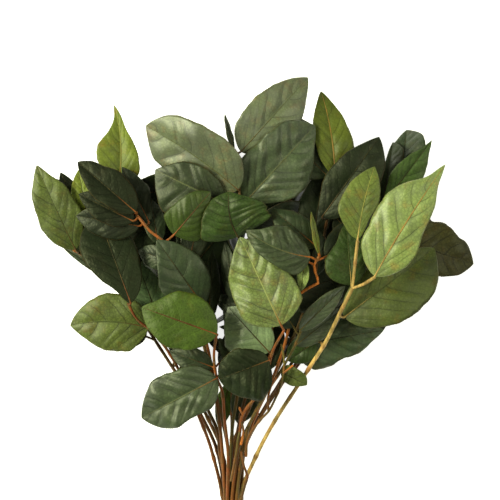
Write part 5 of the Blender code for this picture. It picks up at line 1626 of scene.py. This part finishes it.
@dataclass(frozen=True)
class LeafSheetMaker:
    """Makes the fine blades of a sprig as one sheet, which a modifier gives its thickness."""

    thickness: float = 0.45 * MM
    steps_along: int = 96
    steps_across: int = 22
    hidden_steps_along: int = 36
    hidden_steps_across: int = 10
    crowding: float = 0.08
    least_base: float = 0.7 * MM
    least_tip: float = 0.12 * MM
    crown: float = 1.2 * MM
    groove_depth: float = 0.5 * MM
    groove_width: float = 1.4 * MM
    quilt: float = 1.05 * MM
    wave: float = 1.0 * MM
    curl: float = 0.8 * MM
    tooth: float = 0.3 * MM
    notch: float = 0.025
    swell: float = 0.9 * MM
    full_reach: float = 25 * MM
    back_lighten: Colour = (1.9, 1.8, 2.0)
    back_most: float = 0.3

    def relief(self, leaf: Leaf, share: np.ndarray, across: np.ndarray, reach: np.ndarray, phase: np.ndarray,
               draw: random.Random) -> np.ndarray:
        """Height of the fine surface over the plain folded blade.

        Args:
            leaf: The leaf.
            share: Shares along it.
            across: Places across it, from -1 on the right rim to 1 on the left one.
            reach: Distances from midrib to rim there.
            phase: Vein phases there.
            draw: The source of this leaf's own irregularity.

        Returns:
            Heights in metres.
        """
        out = np.abs(across)
        left = across > 0
        size = np.clip(reach / self.full_reach, 0.2, 1.2)
        ends = np.clip(4 * share * (1 - share), 0, 1) ** 0.5
        ridge = np.abs(np.sin(np.pi * phase))
        quilt = (0.6 * ridge + 0.4 * ridge ** 2 - 0.55) * self.quilt * leaf.bulge
        quilt = quilt * np.clip(out * 4, 0, 1) * (1 - out ** 6)
        crown = self.crown * 4 * out * (1 - out)
        groove = -self.groove_depth * np.exp(-(out * reach / self.groove_width) ** 2)
        waves = -self.curl * out ** 5
        for side in (left, ~left):
            turns = draw.uniform(1.6, 3.2)
            start = draw.uniform(0, 2 * math.pi)
            strength = self.wave * leaf.ripple * draw.uniform(0.6, 1.1)
            waves += side * strength * np.sin(2 * np.pi * turns * share + start) * out ** 2.2
        swell = np.zeros_like(share)
        for _ in range(3):
            along_turns = draw.uniform(0.8, 2.6)
            across_turns = draw.uniform(-1.1, 1.1)
            start = draw.uniform(0, 2 * math.pi)
            swell += np.sin(2 * np.pi * (share * along_turns + across * across_turns) + start)
        swell *= self.swell * leaf.bulge * np.clip(out * 3, 0, 1) / 2
        return (quilt + crown + groove + waves + swell) * ends * size

    def rim(self, stations: np.ndarray, draw: random.Random) -> np.ndarray:
        """Factors and teeth that make a blade's outline a little uneven, for the left and the right.

        Args:
            stations: Shares along the blade.
            draw: The source of irregularity.

        Returns:
            For each side, a factor and a tooth at every station.
        """
        noise = np.random.default_rng(draw.getrandbits(32))
        sides = []
        for _ in range(2):
            uneven = sum(noise.uniform(0.3, 1.0) / (k + 1) * np.sin(2 * np.pi * turns * stations
                                                                  + noise.uniform(0, 2 * np.pi))
                         for k, turns in enumerate((2.6, 5.3, 9.7)))
            teeth = np.where(np.arange(len(stations)) % 2 == 0, noise.uniform(0.3, 1.0, len(stations)), 0.0)
            sides.append((1 + self.notch * uneven, self.tooth * teeth * np.sin(np.pi * stations)))
        return sides

    def surface(self, blade: Blade, share: np.ndarray, across: np.ndarray, course: Course,
                draw: random.Random) -> np.ndarray:
        """Places of the sheet's points.

        Args:
            blade: The blade to follow.
            share: Shares along it.
            across: Places across it.
            course: The leaf's side veins.
            draw: The source of this leaf's own irregularity.

        Returns:
            One row of x, y and z for each point.
        """
        stations, back = np.unique(share, return_inverse=True)
        frames = [blade.frame(float(station)) for station in stations]
        middle, _, side, normal = (np.array([each[k] for each in frames])[back] for k in range(4))
        reaches = np.array([blade.reaches(float(station)) if 0 < station < 1 else (0.0, 0.0)
                            for station in stations])
        least = self.least_base + (self.least_tip - self.least_base) * stations
        reaches = np.maximum(reaches, least[:, None])
        teeth = np.zeros_like(reaches)
        for k, (uneven, tooth) in enumerate(self.rim(stations, draw)):
            reaches[:, k] *= uneven * blade.leaf.wider[k]
            teeth[:, k] = tooth
        column = np.where(across > 0, 0, 1)
        reach = reaches[back, column]
        out = np.abs(across)
        phase = np.where(across > 0, course.phase(share, out, 0), course.phase(share, out, 1))
        height = self.relief(blade.leaf, share, across, reach, phase, draw)
        aside = across * (reach + np.where(out > 0.999, teeth[back, column], 0.0))
        rise = np.abs(aside) * math.sin(blade.fold) + height
        return middle + side * (aside * math.cos(blade.fold))[:, None] + normal * rise[:, None]

    def build(self, name: str, blades: list[Blade], draw: random.Random) -> bpy.types.Object:
        """All the blades of a sprig as one object.

        Args:
            name: The object's name.
            blades: The blades in their places.
            draw: The source of irregularity.

        Returns:
            The object, with a solidify modifier.
        """
        work = bmesh.new()
        work.loops.layers.uv.new("leaf_map")
        points = []
        layers = {"leaf_tone": [], "leaf_back": [], "leaf_rib": [], "leaf_course": [], "leaf_traits": []}
        for blade in blades:
            leaf = blade.leaf
            along = self.steps_along if leaf.plan else self.hidden_steps_along
            across_steps = self.steps_across if leaf.plan else self.hidden_steps_across
            first = len(work.faces)
            grid = bmesh.ops.create_grid(work, x_segments=along, y_segments=across_steps, size=1.0,
                                         calc_uvs=True)
            flat = np.array([vert.co[:2] for vert in grid["verts"]])
            even = (flat[:, 0] + 1) / 2
            share = np.clip(even - self.crowding * np.sin(2 * np.pi * even), 0.0, 1.0)
            across = flat[:, 1]
            out = np.abs(across)
            self.fit_map(work, first)
            course = Course(draw)
            points.append(self.surface(blade, share, across, course, draw))
            count = len(share)
            # The tone times its shade factor. This is the leaf's own colour, with painted sheen and painted
            # light where shade lifts a leaf well above its tone; the underside colour follows from it.
            tone = np.array(leaf.tone.value) * leaf.shade * draw.uniform(0.92, 1.08)
            back = np.minimum(tone * self.back_lighten, self.back_most)
            layers["leaf_tone"].append(np.tile([*tone, 1.0], (count, 1)))
            layers["leaf_back"].append(np.tile([*back, 1.0], (count, 1)))
            layers["leaf_rib"].append(np.tile([*leaf.rib.value, 1.0], (count, 1)))
            layers["leaf_traits"].append(np.tile([leaf.veins, leaf.sheen, draw.random(), 1.0], (count, 1)))
            layers["leaf_course"].append(np.stack([course.phase(share, out, 0), course.phase(share, out, 1),
                                                   share, np.ones(count)], 1))
        mesh = bpy.data.meshes.new(name)
        work.to_mesh(mesh)
        work.free()
        mesh.vertices.foreach_set("co", np.concatenate(points).ravel())
        for attribute, values in layers.items():
            layer = mesh.attributes.new(attribute, "FLOAT_COLOR", "POINT")
            layer.data.foreach_set("color", np.concatenate(values).ravel())
        mesh.shade_smooth()
        mesh.update()
        piece = bpy.data.objects.new(name, mesh)
        bpy.context.scene.collection.objects.link(piece)
        shell = piece.modifiers.new("thickness", "SOLIDIFY")
        shell.thickness = self.thickness
        shell.offset = -1.0
        shell.material_offset = 1
        shell.material_offset_rim = 1
        return piece

    def fit_map(self, work: bmesh.types.BMesh, first: int) -> None:
        """Bring the new faces' map to the same crowding towards base and tip as the points.

        Args:
            work: The mesh.
            first: Number of the first new face.
        """
        layer = work.loops.layers.uv["leaf_map"]
        work.faces.ensure_lookup_table()
        for index in range(first, len(work.faces)):
            for loop in work.faces[index].loops:
                u, v = loop[layer].uv
                loop[layer].uv = (u - self.crowding * math.sin(2 * math.pi * u), v)


@dataclass(frozen=True)
class TubePath:
    """A tapering round rod: its middle line, radii and bark along it."""

    points: list[Vector]
    radii: list[float]
    tones: list[Colour]
    cut: bool = False


@dataclass(frozen=True)
class Bud:
    """A bud at a twig's end: its length and its greatest width."""

    length: float = 3.2 * MM
    width: float = 2.3 * MM
    steps: int = 5

    def path(self, root: Vector, ahead: Vector) -> TubePath:
        """The bud as a short rod that swells and comes to a point.

        Args:
            root: Where it starts.
            ahead: Its heading.

        Returns:
            The rod.
        """
        points, radii = [], []
        for k in range(self.steps + 1):
            share = k / self.steps
            points.append(root + ahead * (self.length * share))
            radii.append(self.width / 2 * max(math.sin(math.pi * (0.25 + 0.74 * share)), 0.1))
        return TubePath(points, radii, [Bark.ORANGE.value] * len(points))


BUD = Bud()


@dataclass(frozen=True)
class StemMaker:
    """Makes the wood of a sprig: stem, twigs, leaf stalks, midribs, buds and scars."""

    sides: int = 10
    stalk_sides: int = 8
    step: float = 4.0 * MM
    stalk_diameter: float = 1.9 * MM
    rib_diameter: float = 1.1 * MM
    rib_tip_diameter: float = 0.3 * MM
    rib_steps: int = 16
    rib_depth: float = 0.42
    knot_swell: float = 0.3
    knot_length: float = 1.8 * MM
    scar_share: float = 0.75
    knot_spacing: tuple[float, float] = (22 * MM, 40 * MM)
    wobble: float = 0.25 * MM

    def smooth_route(self, route: list[Vector], step: float) -> list[Vector]:
        """Points at even steps on a smooth curve through a route's points.

        Args:
            route: The points.
            step: The length of a step.

        Returns:
            The points of the curve.
        """
        points = [route[0] * 2 - route[1], *route, route[-1] * 2 - route[-2]]
        smooth = []
        for k in range(1, len(points) - 2):
            a, b, c, d = points[k - 1:k + 3]
            count = max(int((c - b).length / step), 1)
            for j in range(count):
                t = j / count
                start = (c - a) * ((c - b).length / max((b - a).length + (c - b).length, 1e-9))
                stop = (d - b) * ((c - b).length / max((c - b).length + (d - c).length, 1e-9))
                smooth.append(b * (2 * t ** 3 - 3 * t ** 2 + 1) + c * (3 * t ** 2 - 2 * t ** 3)
                              + start * (t ** 3 - 2 * t ** 2 + t) + stop * (t ** 3 - t ** 2))
        return smooth + [route[-1]]

    def stem_path(self, route: list[Vector], thick: float, thin: float, bark: tuple[Bark, Bark],
                  draw: random.Random, cut: bool = False) -> TubePath:
        """A stem or twig with its knots.

        Args:
            route: The points that it goes through.
            thick: Its diameter at the start.
            thin: Its diameter at the end.
            bark: Its colours low and high.
            draw: The source of irregularity.
            cut: True where its start is a clean cut that shows the wood.

        Returns:
            The rod.
        """
        points = self.smooth_route(route, self.step)
        total = sum((b - a).length for a, b in zip(points, points[1:]))
        knots = []
        reach = draw.uniform(0, self.knot_spacing[1])
        while reach < total:
            knots.append(reach)
            reach += draw.uniform(*self.knot_spacing)
        radii, tones = [], []
        run = 0.0
        low, high = (np.array(each.value) for each in bark)
        patch = draw.uniform(0, 6)
        for k, point in enumerate(points):
            if k:
                run += (point - points[k - 1]).length
            share = run / total
            swell = sum(math.exp(-((run - knot) / self.knot_length) ** 2) for knot in knots)
            radii.append((thick + (thin - thick) * share) / 2 * (1 + self.knot_swell * min(swell, 1.0)))
            mixed = low + (high - low) * min(max(share * 1.4 - 0.2, 0.0), 1.0)
            mixed = mixed * (1 + 0.25 * math.sin(run * 60 + patch))
            scar = min(swell, 1.0) * self.scar_share
            tones.append(tuple(mixed * (1 - scar) + np.array(Bark.SCAR.value) * scar))
        return TubePath(points, radii, tones, cut)

    def twig_paths(self, twig: SideTwig, draw: random.Random) -> list[TubePath]:
        """A fine twig, with a bud at its end where it has one.

        Args:
            twig: The twig.
            draw: The source of irregularity.

        Returns:
            One rod, or two with a bud.
        """
        route = [GRID.place(*point) for point in twig.route]
        path = self.stem_path(route, twig.thick * MM, twig.thin * MM, twig.bark, draw)
        if not twig.bud:
            return [path]
        ahead = (path.points[-1] - path.points[-2]).normalized()
        return [path, BUD.path(path.points[-1] - ahead * path.radii[-1], ahead)]

    def stalk_path(self, blade: Blade, anchor: Vector, bark: Bark) -> TubePath:
        """A leaf stalk that runs on as the midrib under its blade.

        Args:
            blade: The blade.
            anchor: The middle of the stem where the stalk leaves it.
            bark: The stalk's own colour.

        Returns:
            The rod.
        """
        leaf = blade.leaf
        start = self.stalk_diameter / 2
        points, radii, tones = [anchor], [start * 1.15], [bark.value]
        ahead = blade.frame(0.0)[1]
        gap = (blade.base - anchor).length
        for share in (0.33, 0.66):
            straight = anchor.lerp(blade.base, share)
            points.append(straight.lerp(blade.base - ahead * gap * (1 - share), share * 0.6))
            radii.append(start)
            tones.append(bark.value)
        stalk = np.array(bark.value)
        rib = np.array(leaf.rib.value)
        for k in range(self.rib_steps + 1):
            share = 0.97 * (k / self.rib_steps) ** 1.2
            middle, _, _, normal = blade.frame(share)
            radius = (self.rib_diameter + (self.rib_tip_diameter - self.rib_diameter) * share ** 0.7) / 2
            radius = max(radius, start * (1 - k / 3)) if k < 3 else radius
            points.append(middle - normal * (radius * self.rib_depth))
            radii.append(radius)
            blend = min(1.0, share / 0.35)
            tones.append(tuple(stalk + (rib - stalk) * blend))
        return TubePath(points, radii, tones)

    def add_tube(self, work: bmesh.types.BMesh, path: TubePath, sides: int) -> list[np.ndarray]:
        """Extrude a ring along a path and close its ends.

        Args:
            work: The mesh to add to.
            path: The rod.
            sides: Number of sides.

        Returns:
            The colours of the new points, in their order.
        """
        ring = bmesh.ops.create_circle(work, segments=sides, radius=1.0, cap_ends=False)["verts"]
        local = {vert: vert.co.xy.copy() for vert in ring}
        edges = list({edge for vert in ring for edge in vert.link_edges})
        side = None
        colours = []
        ends = []
        last = len(path.points) - 1
        for k, centre in enumerate(path.points):
            ahead = (path.points[min(k + 1, last)] - path.points[max(k - 1, 0)]).normalized()
            side = ahead.orthogonal() if side is None else side - ahead * side.dot(ahead)
            side.normalize()
            normal = ahead.cross(side)
            if k:
                grown = bmesh.ops.extrude_edge_only(work, edges=edges)["geom"]
                new = [item for item in grown if isinstance(item, bmesh.types.BMVert)]
                old = {tuple(vert.co): flat for vert, flat in local.items()}
                local = {vert: old[tuple(vert.co)] for vert in new}
                edges = [item for item in grown if isinstance(item, bmesh.types.BMEdge)
                         and all(vert in local for vert in item.verts)]
            for vert, flat in local.items():
                vert.co = centre + side * (flat.x * path.radii[k]) + normal * (flat.y * path.radii[k])
            colours += [np.array([*path.tones[k], 1.0])] * sides
            if k in (0, last):
                ends += edges
        for face in bmesh.ops.holes_fill(work, edges=ends, sides=sides)["faces"]:
            at_cut = (face.calc_center_median() - path.points[0]).length < path.radii[0]
            face.material_index = 1 if path.cut and at_cut else 0
        return colours

    def build(self, name: str, paths: list[tuple[TubePath, int]]) -> bpy.types.Object:
        """All the wood of a sprig as one object.

        Args:
            name: The object's name.
            paths: The rods and their numbers of sides.

        Returns:
            The object.
        """
        work = bmesh.new()
        colours = []
        for path, sides in paths:
            colours += self.add_tube(work, path, sides)
        bmesh.ops.recalc_face_normals(work, faces=work.faces)
        mesh = bpy.data.meshes.new(name)
        work.to_mesh(mesh)
        work.free()
        mesh.shade_smooth()
        layer = mesh.attributes.new("bark_tone", "FLOAT_COLOR", "POINT")
        layer.data.foreach_set("color", np.array(colours).ravel())
        mesh.set_sharp_from_angle(angle=math.radians(60))
        piece = bpy.data.objects.new(name, mesh)
        bpy.context.scene.collection.objects.link(piece)
        return piece


@dataclass
class Bundle:
    """The whole bundle: every sprig's leaves and wood, and the band."""

    arranger: Arranger
    seed: int = 11
    leaf_maker: LeafSheetMaker = field(default_factory=LeafSheetMaker)
    stem_maker: StemMaker = field(default_factory=StemMaker)
    upper: bpy.types.Material | None = None
    lower: bpy.types.Material | None = None
    bark: bpy.types.Material | None = None
    wood: bpy.types.Material | None = None
    rubber: bpy.types.Material | None = None

    def make_finishes(self) -> None:
        """Build the node groups once and the materials from them."""
        veins = VENATION.group()
        mottle = mottle_group()
        self.upper = LeafFinish("salal_leaf_upper").material(veins, mottle)
        self.lower = LeafFinish("salal_leaf_lower", "leaf_back", roughness=0.62, vein_raise=0.4,
                                cell_raise=0.2).material(veins, mottle)
        self.bark = BarkFinish().material(mottle)
        self.wood = WoodFinish().material(mottle)
        self.rubber = RubberFinish().material(mottle)

    def dress(self, piece: bpy.types.Object, materials: list[bpy.types.Material],
              node: str) -> None:
        """Give a piece its materials and its place in the model.

        Args:
            piece: The piece.
            materials: Its materials.
            node: The node of the model that it replaces.
        """
        for material in materials:
            piece.data.materials.append(material)
        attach(piece, BODY)
        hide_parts(node)
        LOG.info("%s: %d faces", piece.name, len(piece.data.polygons))

    def build_sprig(self, name: str) -> None:
        """The leaves and the wood of one sprig.

        Args:
            name: The sprig.
        """
        sprig = SPRIGS[name]
        blades = self.arranger.blades[name]
        routes = self.arranger.routes[name]
        draw = random.Random(f"{self.seed} {name}")
        if blades:
            leaves = self.leaf_maker.build(f"{name}_leaves", blades, draw)
            self.dress(leaves, [self.upper, self.lower, self.upper], name)
        maker = self.stem_maker
        rods = []
        lines = []
        for k, route in enumerate(routes):
            thick = STEMS.end_diameter if k else STEMS.diameter
            thin = STEMS.twig_diameter if k else STEMS.end_diameter
            path = maker.stem_path(route, thick, thin * sprig.stout, sprig.bark, draw, not k)
            lines.append(path.points)
            rods.append((path, maker.sides))
        for twig in SIDE_TWIGS:
            if twig.sprig == name:
                rods += [(path, maker.stalk_sides) for path in maker.twig_paths(twig, draw)]
        for blade in blades:
            anchor = nearest_in_plan(lines, blade.root)
            rods.append((maker.stalk_path(blade, anchor, sprig.bark[1]), maker.stalk_sides))
        stems = maker.build(f"{name}_stem", rods)
        self.dress(stems, [self.bark, self.wood], name)

    def build(self) -> None:
        """Every sprig, and the band in its finish."""
        self.make_finishes()
        for name in SPRIGS:
            self.build_sprig(name)
        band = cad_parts["tie_band"]
        for slot in band.material_slots:
            slot.material = self.rubber
        LOG.info("tie_band: kept")


@dataclass(frozen=True)
class Studio:
    """A pale floor, soft lights and the camera straight above."""

    camera_height: float = 9.0
    focus_height: float = 0.07
    sensor: float = 36.0
    frame_steps: float = 500
    frame_middle: GridPoint = (250, 250)
    floor_size: float = 12.0
    floor_colour: Colour = (0.93, 0.93, 0.92)
    floor_glow: float = 0.8
    light_colour: Colour = (0.94, 0.97, 0.70)
    world_colour: Colour = (0.95, 0.97, 0.76)
    world_strength: float = 0.2

    def build(self) -> None:
        """Floor, lights, world and camera."""
        self.build_floor()
        middle = GRID.place(*self.frame_middle)
        self.add_light("key_light", middle + Vector((-1.7, 0.35, 1.6)), middle, 1.0, 82.0)
        self.add_light("right_light", middle + Vector((1.3, 0.2, 1.9)), middle, 1.4, 20.0)
        world = bpy.data.worlds.new("studio")
        world.use_nodes = True
        sky = world.node_tree.nodes["Background"]
        sky.inputs["Color"].default_value = (*self.world_colour, 1.0)
        sky.inputs["Strength"].default_value = self.world_strength
        bpy.context.scene.world = world
        self.build_camera(middle)
        bpy.context.scene.view_settings.view_transform = "Standard"

    def build_floor(self) -> None:
        """The pale floor."""
        work = bmesh.new()
        bmesh.ops.create_grid(work, x_segments=1, y_segments=1, size=self.floor_size / 2)
        mesh = bpy.data.meshes.new("floor")
        work.to_mesh(mesh)
        work.free()
        floor = bpy.data.objects.new("floor", mesh)
        bpy.context.scene.collection.objects.link(floor)
        material, _, shader = new_material("studio_floor")
        shader.inputs["Base Color"].default_value = (*self.floor_colour, 1.0)
        shader.inputs["Emission Color"].default_value = (1.0, 1.0, 1.0, 1.0)
        shader.inputs["Emission Strength"].default_value = self.floor_glow
        shader.inputs["Roughness"].default_value = 0.9
        shader.inputs["Specular IOR Level"].default_value = 0.0
        mesh.materials.append(material)

    def add_light(self, name: str, place: Vector, target: Vector, size: float, power: float) -> None:
        """A soft square light turned towards a point.

        Args:
            name: Its name.
            place: Where it stands.
            target: The point it is turned to.
            size: Its side.
            power: Its power in watts.
        """
        data = bpy.data.lights.new(name, "AREA")
        data.shape = "SQUARE"
        data.size = size
        data.energy = power
        data.color = self.light_colour
        light = bpy.data.objects.new(name, data)
        light.location = place
        light.rotation_euler = (target - place).to_track_quat("-Z", "Y").to_euler()
        bpy.context.scene.collection.objects.link(light)

    def build_camera(self, middle: Vector) -> None:
        """A long lens straight above, so that high leaves look no larger than low ones.

        Args:
            middle: The point below it.
        """
        data = bpy.data.cameras.new("camera")
        data.sensor_width = self.sensor
        data.lens = self.sensor * (self.camera_height - self.focus_height) / (self.frame_steps * GRID.step)
        data.clip_end = 100.0
        camera = bpy.data.objects.new("camera", data)
        camera.location = (middle.x, middle.y, self.camera_height)
        bpy.context.scene.collection.objects.link(camera)
        bpy.context.scene.camera = camera


def write_sizes() -> None:
    """Bring the view layer up to date."""
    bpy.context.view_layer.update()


def main() -> None:
    """Arrange, build and dress the bundle, and set up the studio."""
    logging.basicConfig(level=logging.INFO, format="%(message)s")
    arranger = Arranger()
    arranger.arrange()
    LOG.info("leaves: %d placed, %d missed", sum(map(len, arranger.blades.values())), len(arranger.missed))
    Bundle(arranger).build()
    Studio().build()
    write_sizes()


if __name__ == "__main__":
    main()
